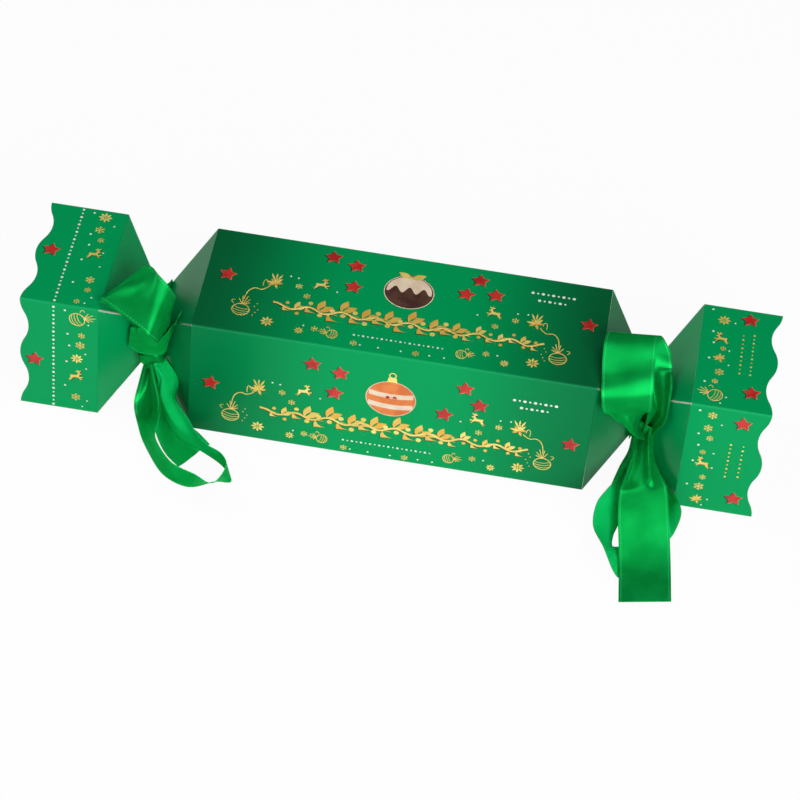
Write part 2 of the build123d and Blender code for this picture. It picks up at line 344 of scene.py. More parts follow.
@dataclass(frozen=True)
class BoardFinish:
    """Gloss-printed folding board: ink on the outer face, raw fibre on edges and inside."""

    panel: Panel
    # darkening towards the barrel's ends: part print, part painted shade of the bows
    vignette: float = 0.0
    ink: Colour = (0.000, 0.305, 0.086)
    # dark green that the ends and the groove darken to, in print and painted shade, and the mottle's dark
    # tone
    ink_dark: Colour = (0.002, 0.055, 0.018)
    # lighter green at the tube's corners: part cracked ink, part painted highlight of the crease
    ink_worn: Colour = (0.10, 0.62, 0.30)
    sheen: Colour = (0.12, 1.0, 0.55)
    fibre: Colour = (0.80, 0.79, 0.75)
    fibre_dark: Colour = (0.62, 0.60, 0.55)
    barrel_fade: Flat = (16, 90)
    # span and depth of the painted shade in the neck's groove, where shade falls
    groove_fade: Flat = (92, 114)
    groove_shade: float = 0.45
    barrel_cut: Flat = (92, 96)
    sleeve_cut: Flat = (120, 124)
    crease_half: float = 0.7
    grain_scale: float = 900.0
    grain_reach: float = 0.5
    fibre_scale: float = 1400.0
    mottle_scale: float = 60.0
    mottle_share: float = 0.05
    skin_scale: float = 1100.0
    worn_span: Flat = (0.3, 1.6)
    worn_share: float = 0.08
    bare_span: Flat = (0.5, 0.95)
    barrel_bare: float = 0.5

    def material(self) -> Material:
        """Make the material.

        Returns:
            The finished material.
        """
        nodes = Nodes(f"board_{self.panel.word}" + ("_barrel" if self.vignette else ""))
        coords = nodes.add("TexCoord")
        where = coords.outputs["Object"]
        place = nodes.add("SeparateXYZ", {0: where}).outputs
        facing = nodes.add("SeparateXYZ", {0: coords.outputs["Normal"]}).outputs
        outward = self.panel.value[0]
        upright = outward[2] != 0
        sign = float(outward[2] if upright else outward[1])
        along = nodes.math("ABSOLUTE", place[0])
        height = nodes.less(place[2], HALF_SECTION * MM)
        radial = nodes.times(height if upright else place[1], sign)
        sideways = nodes.math("ABSOLUTE", place[1] if upright else height)
        outside = nodes.times(facing[2 if upright else 1], sign)
        grain = nodes.times(nodes.noise(where, self.grain_scale), self.grain_reach * MM)
        to_corner = nodes.math("ADD", nodes.less(radial, sideways), grain)

        bare = self.bare(nodes, along, to_corner)
        skin = nodes.times(self.printed(nodes, along, outside), nodes.less(1.0, bare))
        fibre = nodes.mix(nodes.noise(where, self.fibre_scale, 4.0), self.fibre, self.fibre_dark)
        ink = self.shaded(nodes, along, nodes.noise(where, self.mottle_scale, 3.0))
        # lighter green along the tube's corners: part cracked ink, part painted highlight of the crease
        wear_and_highlight = nodes.times(nodes.fall(to_corner, self.worn_span), self.worn_share)
        ink = nodes.mix(wear_and_highlight, ink, self.ink_worn)
        nodes.set(Base_Color=nodes.mix(skin, fibre, ink), Specular_IOR_Level=0.16, Specular_Tint=self.sheen,
                  Roughness=nodes.less(0.85, nodes.times(skin, 0.55)))
        nodes.bump(nodes.noise(where, self.skin_scale, 3.0), 0.05, 0.02 * MM)
        return nodes.material

    def printed(self, nodes: Nodes, along: Socket, outside: Socket) -> Socket:
        """Where ink lies: on the outer face and over the creases at the ends of the necks.

        Args:
            nodes: the material's nodes.
            along: distance from the carton's middle.
            outside: how far the surface faces outwards, from -1 to 1.

        Returns:
            1 on ink and 0 on raw board.
        """
        ink = nodes.math("GREATER_THAN", outside, 0.45)
        not_inside = nodes.math("GREATER_THAN", outside, -0.3)
        for crease in (BARREL_CREASE, SLEEVE_CREASE):
            apart = nodes.math("ABSOLUTE", nodes.less(along, crease * MM))
            bent = nodes.times(nodes.math("LESS_THAN", apart, self.crease_half * MM), not_inside)
            ink = nodes.math("MAXIMUM", ink, bent)
        return ink

    def shaded(self, nodes: Nodes, along: Socket, mottle: Socket) -> Socket:
        """Green with a faint mottle, darker towards the barrel's ends in print and painted shade, and
        otherwise into the neck's groove in painted shade.

        Args:
            nodes: the material's nodes.
            along: distance from the carton's middle.
            mottle: soft noise.

        Returns:
            The ink's colour.
        """
        # the barrel's ends darken: part print, part painted shade
        if self.vignette:
            shade = nodes.times(nodes.rise(along, self.barrel_fade), self.vignette)
        else:
            # painted shade: the ink darkens into the neck's groove, where shade falls
            shade = nodes.times(nodes.fall(along, self.groove_fade), self.groove_shade)
        shade = nodes.math("ADD", shade, nodes.times(nodes.less(mottle, 0.5), self.mottle_share), True)
        return nodes.mix(shade, self.ink, self.ink_dark)

    def bare(self, nodes: Nodes, along: Socket, to_corner: Socket) -> Socket:
        """Where the neck's slanted edges show raw board.

        Args:
            nodes: the material's nodes.
            along: distance from the carton's middle.
            to_corner: distance from the tube's corner.

        Returns:
            1 on a bare edge and 0 elsewhere.
        """
        by_sleeve = nodes.times(nodes.rise(along, self.sleeve_cut),
                                nodes.math("LESS_THAN", along, (SLEEVE_CREASE + 0.1) * MM))
        by_barrel = nodes.times(nodes.math("GREATER_THAN", along, (BARREL_CREASE - 0.1) * MM),
                                nodes.fall(along, self.barrel_cut))
        neck = nodes.math("MAXIMUM", by_sleeve, nodes.times(by_barrel, self.barrel_bare))
        return nodes.times(neck, nodes.fall(to_corner, self.bare_span))


@dataclass(frozen=True)
class InkFinish:
    """One printed or foiled colour, and the height of its middle above the board."""

    name: str
    lift: float
    light: Colour
    deep: Colour
    metallic: float = 0.0
    roughness: float = 0.35
    patch_scale: float = 140.0
    patch_span: Flat = (0.35, 0.65)
    skin_scale: float = 1500.0

    def material(self) -> Material:
        """Make the material.

        Returns:
            The finished material.
        """
        nodes = Nodes(f"ink_{self.name}")
        where = nodes.add("TexCoord").outputs["Object"]
        patch = nodes.step(nodes.noise(where, self.patch_scale, 3.0), *self.patch_span)
        nodes.set(Base_Color=nodes.mix(patch, self.light, self.deep), Metallic=self.metallic,
                  Roughness=self.roughness, Specular_IOR_Level=0.35)
        nodes.bump(nodes.noise(where, self.skin_scale), 0.06, 0.02 * MM)
        return nodes.material


@dataclass(frozen=True)
class SatinFinish:
    """Woven satin ribbon: fine cross ribs, a soft sheen and a picot selvedge on both edges."""

    name: str = "satin"
    lit: Colour = (0.003, 0.34, 0.060)
    deep: Colour = (0.001, 0.22, 0.034)
    selvedge: Colour = (0.022, 0.50, 0.13)
    metallic: float = 0.42
    roughness: float = 0.33
    sheen: Colour = (0.30, 1.0, 0.50)
    stitch: float = 0.046
    hem_start: Flat = (0.442, 0.450)
    hem_end: Flat = (0.464, 0.472)
    rib_stretch: Spot = (2.0, 34.0, 1.0)
    rib_scale: float = 6.0
    cloud_scale: float = 1.6

    def material(self) -> Material:
        """Make the material.

        Returns:
            The finished material.
        """
        nodes = Nodes(self.name)
        chart = nodes.add("UVMap", uv_map="ribbon").outputs[0]
        across, along = nodes.add("SeparateXYZ", {0: chart}).outputs[:2]
        from_middle = nodes.math("ABSOLUTE", nodes.less(across, 0.5))
        edge = nodes.less(nodes.step(from_middle, *self.hem_start), nodes.step(from_middle, *self.hem_end))
        stitch = nodes.math("SINE", nodes.times(along, 2 * math.pi / self.stitch))
        stitch = nodes.step(stitch, -0.1, 0.5)

        stretched = nodes.add("Mapping", {"Vector": chart, "Scale": self.rib_stretch}).outputs[0]
        ribs = nodes.noise(stretched, self.rib_scale, 3.0)
        cloud = nodes.noise(chart, self.cloud_scale, 2.0)
        body = nodes.mix(nodes.math("MULTIPLY_ADD", ribs, 0.5, True), self.lit, self.deep)
        body = nodes.mix(nodes.step(cloud, 0.3, 0.75), body, self.lit)
        hem = nodes.mix(stitch, self.lit, self.selvedge)
        nodes.set(Base_Color=nodes.mix(edge, body, hem), Roughness=self.roughness, Metallic=self.metallic,
                  Specular_IOR_Level=0.0, Specular_Tint=self.sheen, Anisotropic=0.5,
                  Subsurface_Weight=0.7, Subsurface_Scale=1.5 * MM, Subsurface_Radius=(1.0, 1.0, 1.0))
        tangent = nodes.add("Tangent", direction_type="UV_MAP", uv_map="ribbon")
        nodes.join(tangent.outputs[0], nodes.shader.inputs["Tangent"])
        weave = nodes.math("ADD", nodes.times(ribs, 0.6), nodes.times(edge, stitch))
        nodes.bump(weave, 0.25, 0.08 * MM)
        return nodes.material


@dataclass(frozen=True)
class FilmFinish:
    """Clear-coated white film of the treat bag, with a hazy print of its fill."""

    film: Colour = (0.80, 0.79, 0.76)
    fill: Colour = (0.60, 0.42, 0.26)
    lump_scale: float = 55.0
    lump_span: Flat = (0.42, 0.62)
    lump_share: float = 0.55
    crinkle_scale: float = 130.0

    def material(self) -> Material:
        """Make the material.

        Returns:
            The finished material.
        """
        nodes = Nodes("bag_film")
        where = nodes.add("TexCoord").outputs["Object"]
        lumps = nodes.step(nodes.noise(where, self.lump_scale, 3.0), *self.lump_span)
        colour = nodes.mix(nodes.times(lumps, self.lump_share), self.film, self.fill)
        nodes.set(Base_Color=colour, Roughness=0.18, Specular_IOR_Level=0.6, Coat_Weight=0.4,
                  Coat_Roughness=0.08)
        nodes.bump(nodes.noise(where, self.crinkle_scale, 4.0), 0.35, 0.5 * MM)
        return nodes.material


class Ink(Enum):
    """The inks of the print, from the lowest up."""

    SHADOW = InkFinish("shadow", 0.012, (0.004, 0.050, 0.020), (0.003, 0.035, 0.014), 0.0, 0.5)
    BROWN = InkFinish("brown", 0.020, (0.10, 0.045, 0.030), (0.055, 0.022, 0.016))
    ORANGE = InkFinish("orange", 0.028, (0.74, 0.22, 0.055), (0.62, 0.14, 0.030))
    CREAM = InkFinish("cream", 0.036, (0.80, 0.66, 0.50), (0.70, 0.54, 0.38))
    RIM = InkFinish("rim", 0.044, (0.55, 0.22, 0.10), (0.42, 0.12, 0.06))
    RED = InkFinish("red", 0.060, (0.56, 0.030, 0.022), (0.40, 0.014, 0.014))
    AMBER = InkFinish("amber", 0.068, (0.80, 0.43, 0.06), (0.78, 0.55, 0.12), 0.25, 0.34)
    GOLD = InkFinish("gold", 0.076, (0.92, 0.76, 0.22), (0.80, 0.58, 0.12), 0.25, 0.34)
    WHITE = InkFinish("white", 0.084, (0.80, 0.86, 0.80), (0.72, 0.80, 0.73))


INKS: dict[Ink, Material] = {}


@dataclass
class Stencil:
    """A flat print on one face: filled shapes and pen strokes, in millimetres, by ink."""

    name: str
    panel: Panel
    rise: float = 0.0
    stretch: float = 1.0
    flattened: float = 0.06
    fills: dict[Ink, list[list[Flat]]] = field(default_factory=dict)
    strokes: dict[Ink, list[tuple[list[Flat], float]]] = field(default_factory=dict)

    def spot(self, x: float, y: float) -> Flat:
        """Where a point of the layout falls on this face."""
        return x, y * self.stretch + self.rise

    def fill(self, ink: Ink, outline: list[Flat]) -> None:
        """Add a filled shape."""
        self.fills.setdefault(ink, []).append(outline)

    def stroke(self, ink: Ink, points: list[Flat], half_width: float) -> None:
        """Add a pen stroke."""
        self.strokes.setdefault(ink, []).append((points, half_width))

    def dot(self, ink: Ink, x: float, y: float, radius: float) -> None:
        """Add a small round dot."""
        self.fill(ink, [polar((x, y), radius, math.tau * step / 10) for step in range(10)])

    def dotted(self, ink: Ink, points: list[Flat], radii: Flat) -> None:
        """Add a row of dots that have two radii in turn."""
        for step, (x, y) in enumerate(points):
            self.dot(ink, x, y, radii[step % 2])

    def star(self, x: float, y: float, radius: float, tilt: float) -> None:
        """Add a red star with a thin rim and a dark shadow to its lower left.

        Args:
            x: middle of the star along the carton.
            y: middle of the star up the face.
            radius: tip radius.
            tilt: turn in degrees.
        """
        for ink, grow, shift in ((Ink.SHADOW, 1.04, (-0.55, -0.45)), (Ink.RIM, 1.07, (0.12, -0.10)),
                                 (Ink.RED, 0.97, (0.0, 0.0))):
            middle = (x + shift[0], y + shift[1])
            reaches = (radius * grow, radius * grow * 0.52)
            self.fill(ink, [polar(middle, reaches[step % 2], math.radians(90 + tilt + 36 * step))
                            for step in range(10)])

    def flake(self, x: float, y: float, radius: float) -> None:
        """Add a gold snowflake of six arms with a pair of twigs each.

        Args:
            x: middle along the carton.
            y: middle up the face.
            radius: the arms' length.
        """
        half = max(0.13, 0.085 * radius)
        for arm in range(6):
            angle = math.radians(60 * arm + 30)
            self.stroke(Ink.GOLD, [(x, y), polar((x, y), radius, angle)], half)
            foot = polar((x, y), 0.52 * radius, angle)
            for turn in (-50, 50):
                tip = polar(foot, 0.36 * radius, angle + math.radians(turn))
                self.stroke(Ink.GOLD, [foot, tip], half * 0.85)

    def petal_flake(self, x: float, y: float, radius: float) -> None:
        """Add a gold snowflake of eight pointed petals.

        Args:
            x: middle along the carton.
            y: middle up the face.
            radius: the petals' reach.
        """
        for petal in range(8):
            angle = math.radians(45 * petal)
            foot = polar((x, y), 0.18 * radius, angle)
            self.leaf(Ink.GOLD, foot, angle, 0.80 * radius, 0.17 * radius)
        self.dot(Ink.GOLD, x, y, 0.13 * radius)

    def leaf(self, ink: Ink, foot: Flat, angle: float, length: float, half_width: float) -> None:
        """Add an almond-shaped leaf.

        Args:
            ink: its colour.
            foot: where it starts.
            angle: its direction in radians.
            length: foot to tip.
            half_width: half of its widest part.
        """
        profile = ((0.0, 0.0), (0.25, 0.75), (0.5, 1.0), (0.75, 0.68), (1.0, 0.0), (0.75, -0.68), (0.5, -1.0),
                   (0.25, -0.75))
        turn_x, turn_y = math.cos(angle), math.sin(angle)
        self.fill(ink, [(foot[0] + length * a * turn_x - half_width * b * turn_y,
                         foot[1] + length * a * turn_y + half_width * b * turn_x) for a, b in profile])

    def deer(self, x: float, y: float, size: float, facing: int) -> None:
        """Add a leaping reindeer and its shadow.

        Args:
            x: middle along the carton.
            y: middle up the face.
            size: half of its length.
            facing: 1 to the right, -1 to the left.
        """
        body = ((-1.0, -0.72), (-0.70, -0.42), (-0.62, -0.10), (-0.70, 0.10), (-0.58, 0.22), (-0.20, 0.20),
                (0.18, 0.26), (0.34, 0.56), (0.46, 0.66), (0.80, 0.52), (0.76, 0.42), (0.56, 0.40),
                (0.50, 0.10), (0.58, -0.06), (0.98, 0.02), (1.0, -0.14), (0.62, -0.24), (0.86, -0.50),
                (0.78, -0.58), (0.40, -0.20), (-0.06, -0.20), (-0.30, -0.24), (-0.42, -0.48), (-0.72, -0.86),
                (-0.80, -0.80), (-0.58, -0.44))
        antlers = (((0.42, 0.62), (0.24, 0.86), (0.30, 1.16)), ((0.28, 0.82), (0.04, 0.92)),
                   ((0.46, 0.64), (0.52, 0.92), (0.70, 1.10)), ((0.51, 0.86), (0.40, 1.06)))
        for ink, shift in ((Ink.SHADOW, 0.35), (Ink.GOLD, 0.0)):
            outline, *lines = [[(x + shift + facing * size * across, y - shift + size * up)
                                for across, up in points] for points in (body, *antlers)]
            self.fill(ink, outline)
            for line in lines:
                self.stroke(ink, line, 0.075 * size)

    def bauble(self, x: float, y: float, radius: float, lean: float, facing: int) -> None:
        """Add a drawn bauble with stripes, a sprig and two berries.

        Args:
            x: middle along the carton.
            y: middle up the face.
            radius: the ball's radius.
            lean: turn of the whole drawing in degrees.
            facing: 1 or -1, the side that its curl is on.
        """
        turn_x, turn_y = math.cos(math.radians(lean)), math.sin(math.radians(lean))

        def put(points: list[Flat]) -> list[Flat]:
            """Points of the drawing at their places on the face."""
            sized = [(facing * radius * across, radius * up) for across, up in points]
            return [(x + across * turn_x - up * turn_y, y + across * turn_y + up * turn_x)
                    for across, up in sized]

        ring = [(math.sin(math.tau * step / 16), 0.92 * math.cos(math.tau * step / 16)) for step in range(17)]
        self.stroke(Ink.GOLD, put(ring), 0.22)
        for level in (0.35, -0.02, -0.38):
            wide = math.sqrt(1 - level * level)
            arc = [(wide * s, level - 0.24 * (1 - s * s)) for s in (-0.92, -0.5, 0.0, 0.5, 0.92)]
            self.stroke(Ink.GOLD, put(arc), 0.15)
        sprig = (0.0, 0.85)
        for reach, angle in ((1.15, 58), (1.45, 80), (1.35, 104), (1.05, 128), (0.85, 34)):
            self.stroke(Ink.GOLD, put([sprig, polar(sprig, reach, math.radians(angle))]), 0.20)
        self.stroke(Ink.GOLD, put([(-1.0, 0.75), (-1.35, 0.95), (-1.30, 1.35), (-0.98, 1.30)]), 0.17)
        for berry in put([(-0.30, 0.92), (0.26, 0.98)]):
            self.dot(Ink.RED, *berry, 0.16 * radius)

    def burst(self, x: float, y: float, radius: float) -> None:
        """Add a gold poinsettia with amber leaves between its rays.

        Args:
            x: middle along the carton.
            y: middle up the face.
            radius: the gold rays' length.
        """
        for ray in range(9):
            ink, reach = (Ink.AMBER, 0.8) if ray % 2 else (Ink.GOLD, 1.0)
            self.leaf(ink, (x, y), math.radians(40 * ray + 90), radius * reach, 0.15 * radius)
        self.dot(Ink.RED, x, y, 0.18 * radius)

    def press(self, body: str) -> None:
        """Make the print's thin pieces, one for each ink, and let them ride on a body.

        Args:
            body: the body that the face belongs to.
        """
        for ink in Ink:
            sheets = []
            if ink in self.fills:
                sheets.append(self.cut_fills(ink))
            if ink in self.strokes:
                sheets.append(self.draw_strokes(ink))
            if not sheets:
                continue
            clear_selection()
            for sheet in sheets:
                sheet.select_set(True)
            bpy.context.view_layer.objects.active = sheets[0]
            if len(sheets) > 1:
                bpy.ops.object.join()
            piece = bpy.context.object
            piece.name = f"print_{self.name}_{ink.value.name}"
            piece.data.transform(self.panel.place(ink.value.lift * MM))
            piece.data.materials.clear()
            piece.data.materials.append(INKS[ink])
            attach(piece, body)
            LOG.info("%s: %d faces", piece.name, len(piece.data.polygons))

    def curve(self, ink: Ink, dimensions: str) -> Piece:
        """An empty curve object for this print.

        Args:
            ink: the ink that it is for.
            dimensions: 2D for filled shapes, 3D for pen strokes.

        Returns:
            The curve object, with no points yet.
        """
        data = bpy.data.curves.new(f"{self.name}_{ink.value.name}", "CURVE")
        data.dimensions = dimensions
        piece = bpy.data.objects.new(data.name, data)
        bpy.context.collection.objects.link(piece)
        return piece

    @staticmethod
    def draw(piece: Piece, kind: str, points: list[Flat]) -> bpy.types.Spline:
        """Add one line of points to a curve object.

        Args:
            piece: the curve object.
            kind: the line's type.
            points: its points, in millimetres.

        Returns:
            The new line.
        """
        spline = piece.data.splines.new(kind)
        spline.points.add(len(points) - 1)
        for point, (x, y) in zip(spline.points, points):
            point.co = (x * MM, y * MM, 0.0, 1.0)
        return spline

    @staticmethod
    def to_mesh(piece: Piece) -> Piece:
        """Turn a curve object into a mesh.

        Args:
            piece: the curve object.

        Returns:
            The mesh object.
        """
        take(piece)
        bpy.ops.object.convert(target="MESH")
        return bpy.context.object

    def cut_fills(self, ink: Ink) -> Piece:
        """Make one ink's filled shapes as a thin mesh.

        Args:
            ink: the ink.

        Returns:
            The mesh, flat at the origin.
        """
        piece = self.curve(ink, "2D")
        piece.data.fill_mode = "BOTH"
        piece.data.extrude = FILL_HALF * MM
        for outline in self.fills[ink]:
            self.draw(piece, "POLY", outline).use_cyclic_u = True
        return self.to_mesh(piece)

    def draw_strokes(self, ink: Ink) -> Piece:
        """Make one ink's pen strokes as a thin mesh.

        Args:
            ink: the ink.

        Returns:
            The mesh, flat at the origin.
        """
        piece = self.curve(ink, "3D")
        piece.data.bevel_depth = MM
        piece.data.bevel_resolution = 1
        piece.data.use_fill_caps = True
        for points, half_width in self.strokes[ink]:
            curved = len(points) > 2
            spline = self.draw(piece, "NURBS" if curved else "POLY", points)
            for point in spline.points:
                point.radius = half_width
            if curved:
                spline.order_u = 3
                spline.use_endpoint_u = True
                spline.resolution_u = 4
        drawn = self.to_mesh(piece)
        drawn.data.transform(Matrix.Diagonal((1.0, 1.0, self.flattened, 1.0)))
        return drawn


class Motif(Enum):
    """The small ornaments that stand in a column on the sleeves."""

    FLAKE = auto()
    PETAL = auto()
    BURST = auto()
    DEER = auto()
    BAUBLE = auto()


@dataclass
class CartonPrint:
    """The ornaments printed on the barrel and the sleeves.

    A place is given along the carton and up the face, and a third number is a radius. A line of dots is given
    by its place along the carton and its two ends, and the dots of a row have two radii in turn.
    """

    star_radius: float = 4.0
    star_tilts: tuple[float, ...] = (-6, 5, 8, -4, 3, -7, 6, -3)
    top_stars: Flats = ((-79.5, 3.5), (-35.5, 24.5), (-24.5, 21), (-24, 7.5), (30.5, 24), (25.5, 14),
                        (38.5, 16), (81, 6.5))
    front_stars: Flats = ((-79.5, -1), (-35, 20), (-22.5, 17), (-24.5, 4.5), (32.5, 19.5), (24.5, 2),
                          (39.5, 10.5), (81, -4.5))
    small_flakes: Flats = ((-47.5, 2.5), (-43, -3), (49, 2), (40.5, -3.5), (-36.5, -22.5), (39, -21.5),
                           (-18.5, -27.5), (9, -28))
    small_flake_radius: float = 1.7
    large_flakes: tuple[Spot, ...] = ((-57.5, -22.5, 3.1), (-43, -25, 2.1), (59.5, -22.5, 3.1),
                                      (47.5, -25.5, 2.1))
    dots: Flats = ((-48.5, 7.5), (-30.5, 2.5), (-15.5, -28), (-7.5, -28), (2.5, -28), (-41.5, -21.5),
                   (32, 2), (49.5, 6.5), (44, -21.5), (15, -28), (21.5, -28), (-52, 8), (54, 7))
    dot_radius: float = 0.42
    deer_places: Flats = ((-38, 5.5), (39.5, 4.5))
    deer_size: float = 3.6
    front_rise: float = -2.7
    front_stretch: float = 0.94
    bauble: Spot = (70.0, -17.5, 3.9)
    burst: Spot = (58.0, 2, 4.3)
    lying_bauble: Spot = (28.5, -24, 2.6)
    vine_start: Flat = (-57, -11.0)
    vine_step: float = 2.5
    vine_steps: int = 48
    vine_wave: float = 1.6
    vine_half: float = 0.60
    vine_shadow: Flat = (-0.35, -0.45)
    lush_middle: float = -9
    lush_span: Flat = (42.0, 26.0)
    low_dots_start: Flat = (-19, -22.4)
    low_dots_step: float = 2.05
    low_dots_count: int = 20
    low_dots_radii: Flat = (0.52, 0.36)
    end_dots_middle: Flat = (63.5, 21.5)
    end_dots_steps: Flat = (2.3, 4.4)
    end_dots_counts: tuple[int, ...] = (9, 6)
    end_dots_radii: Flat = (0.75, 0.5)
    centre: Flat = (0.5, 9.5)
    ball_half: Flat = (11.0, 10.4)
    column_reach: float = 139.5
    columns: dict[tuple[Side, bool], tuple[tuple[Motif, float, float, float], ...]] = field(
        default_factory=lambda: {
            (Side.LEFT, True): (
                (Motif.PETAL, 0, 27, 3.2), (Motif.FLAKE, -0.8, 18.5, 2.3), (Motif.FLAKE, 1, 12, 1.6),
                (Motif.DEER, 0, 2.5, 3.4), (Motif.FLAKE, 1.8, -14, 2.2), (Motif.FLAKE, 2.2, -20.5, 1.6),
                (Motif.FLAKE, -1, -28.5, 1.5)),
            (Side.LEFT, False): (
                (Motif.BAUBLE, 0, 24.5, 3.7), (Motif.FLAKE, 2, 15, 1.7), (Motif.FLAKE, 1.4, 9, 2.3),
                (Motif.PETAL, 0, 0.5, 2.9), (Motif.DEER, -0.6, -10.5, 3.4), (Motif.FLAKE, -0.4, -23.5, 2.2)),
            (Side.RIGHT, True): (
                (Motif.PETAL, 0, 23, 3.0), (Motif.DEER, 0, 11, 3.4), (Motif.FLAKE, 1, 5, 1.5),
                (Motif.BURST, 0, -1.5, 3.2), (Motif.FLAKE, 0.6, -10, 2.2), (Motif.FLAKE, -0.8, -16, 1.6),
                (Motif.BAUBLE, 0, -24.5, 3.5)),
            (Side.RIGHT, False): (
                (Motif.FLAKE, 0.4, 27, 2.2), (Motif.FLAKE, -0.6, 19, 2.1), (Motif.FLAKE, 1, 13, 1.7),
                (Motif.FLAKE, -1, 4, 1.5), (Motif.DEER, 0, -3, 3.4), (Motif.FLAKE, 1, -11.5, 1.6),
                (Motif.FLAKE, 0, -17.5, 2.3), (Motif.BURST, 0, -26, 3.3))})
    column_dots: Flats = ((-4.6, -2), (4.2, -5), (-5.2, -17), (4.8, -25), (-3.4, 8), (5.0, 22),
                          (-5.4, 29), (3.8, 4), (-4.2, 15), (2.6, -29))
    sleeve_stars: dict[tuple[Side, bool], Flats] = field(default_factory=lambda: {
        (Side.LEFT, True): ((-158.5, 1.5),), (Side.LEFT, False): ((-158.5, -3.5),),
        (Side.RIGHT, True): ((151, 25.5), (155, -20)), (Side.RIGHT, False): ((153.5, 24.5), (155.5, -22))})
    column_dot_radii: Flat = (0.52, 0.40)
    left_line: Spot = (-150, -30, 30)
    left_line_count: int = 25
    left_line_radii: Flat = (0.62, 0.42)
    right_lines: dict[bool, tuple[Spot, ...]] = field(default_factory=lambda: {
        True: ((153.5, -9, 16), (148.8, -9, 15)), False: ((155.5, -8, 11), (150, -9, 11))})
    right_line_step: float = 2.2
    right_line_radii: Flat = (0.5, 0.34)

    def barrel_face(self, panel: Panel) -> None:
        """Print one long face of the barrel.

        Args:
            panel: the face.
        """
        high = panel is Panel.TOP
        sheet = Stencil(f"barrel_{panel.word}", panel, 0.0 if high else self.front_rise,
                        1.0 if high else self.front_stretch)
        for (x, y), tilt in zip(self.top_stars if high else self.front_stars, self.star_tilts):
            sheet.star(x, y, self.star_radius, tilt)
        for x, y in self.small_flakes:
            sheet.flake(*sheet.spot(x, y), self.small_flake_radius)
        for x, y, radius in self.large_flakes:
            sheet.petal_flake(*sheet.spot(x, y), radius)
        for x, y in self.dots:
            sheet.dot(Ink.WHITE, *sheet.spot(x, y), self.dot_radius)
        for (x, y), facing in zip(self.deer_places, (1, -1)):
            sheet.deer(*sheet.spot(x, y), self.deer_size, facing)
        for facing in (-1, 1):
            self.corner_ornament(sheet, facing)
        self.garland(sheet)
        self.dot_rows(sheet)
        self.centrepiece(sheet, high)
        sheet.press("barrel")

    def corner_ornament(self, sheet: Stencil, facing: int) -> None:
        """Draw the bauble, the swirl and the poinsettia beside the garland.

        Args:
            sheet: the face's print.
            facing: -1 for the left end, 1 for the right end.
        """
        reach, level, radius = self.bauble
        x, y = sheet.spot(reach * facing, level)
        sheet.bauble(x, y, radius, 6 * facing, -facing)
        reach, level, radius = self.burst
        burst_x, burst_y = sheet.spot(reach * facing, level)
        swirl = ((0.3, 6.5), (0.5, 12), (4.0, 15.5), (7.0, 13.5))
        swirl = [(x - across * facing, y + up) for across, up in swirl]
        sheet.stroke(Ink.GOLD, [*swirl, (burst_x + 2.0 * facing, burst_y - 2.0)], 0.25)
        curl = ((5.0, -2.6), (5.4, 1.2), (3.4, 1.6), (3.2, -0.8))
        sheet.stroke(Ink.GOLD, [(burst_x + across * facing, burst_y + up) for across, up in curl], 0.18)
        sheet.burst(burst_x, burst_y, radius)
        for fan in (66, 90, 114):
            angle = math.radians(fan)
            sheet.leaf(Ink.GOLD, (burst_x + 1.5 * math.cos(angle), burst_y + 2.0), angle, 4.6, 0.42)
        for step in range(5):
            sheet.dot(Ink.GOLD, x - facing * (5.6 + 0.9 * (step % 3)), y - 2.6 + 1.9 * step, 0.27)
        reach, level, radius = self.lying_bauble
        sheet.bauble(*sheet.spot(reach * facing, level), radius, 78 * -facing, facing)

    def vine_spot(self, sheet: Stencil, x: float) -> Flat:
        """Where the garland's vine is, at a place along the carton."""
        return sheet.spot(x, self.vine_start[1] + self.vine_wave * math.sin(0.42 * x))

    def garland(self, sheet: Stencil) -> None:
        """Draw the gold garland along the middle of the face, with longer leaves where it is lush.

        Args:
            sheet: the face's print.
        """
        steps = range(self.vine_steps + 1)
        vine = [self.vine_spot(sheet, self.vine_start[0] + step * self.vine_step) for step in steps]
        right, up = self.vine_shadow
        sheet.stroke(Ink.SHADOW, [(x + right, y + up) for x, y in vine], self.vine_half)
        sheet.stroke(Ink.GOLD, vine, self.vine_half)
        for step in range(2, self.vine_steps, 2):
            x = self.vine_start[0] + step * self.vine_step
            lush = ease(abs(x - self.lush_middle), *self.lush_span)
            foot = self.vine_spot(sheet, x)
            ink, other = (Ink.AMBER, Ink.GOLD) if lush > 0.5 else (Ink.GOLD, Ink.AMBER)
            side = -1 if step % 4 else 1
            length, half = 5.0 + 2.8 * lush, 1.15 + 0.65 * lush
            for lean in (28, 72):
                angle = math.radians(lean) * side
                sheet.leaf(Ink.SHADOW, (foot[0] + right, foot[1] + up), angle, length, half)
                sheet.leaf(ink, foot, angle, length, half)
            sheet.dot(other, foot[0] + 1.4, foot[1] - 2.4 * side, 0.85 + 0.35 * lush)

    def dot_rows(self, sheet: Stencil) -> None:
        """Draw the white rows of dots below the garland and at the right end.

        Args:
            sheet: the face's print.
        """
        x, y = self.low_dots_start
        row = [sheet.spot(x + self.low_dots_step * step, y) for step in range(self.low_dots_count)]
        sheet.dotted(Ink.WHITE, row, self.low_dots_radii)
        x, y = self.end_dots_middle
        across, down = self.end_dots_steps
        for line, count in enumerate(self.end_dots_counts):
            shifts = [step - (count - 1) / 2 for step in range(count)]
            row = [sheet.spot(x + across * shift, y - down * line) for shift in shifts]
            sheet.dotted(Ink.WHITE, row, self.end_dots_radii)

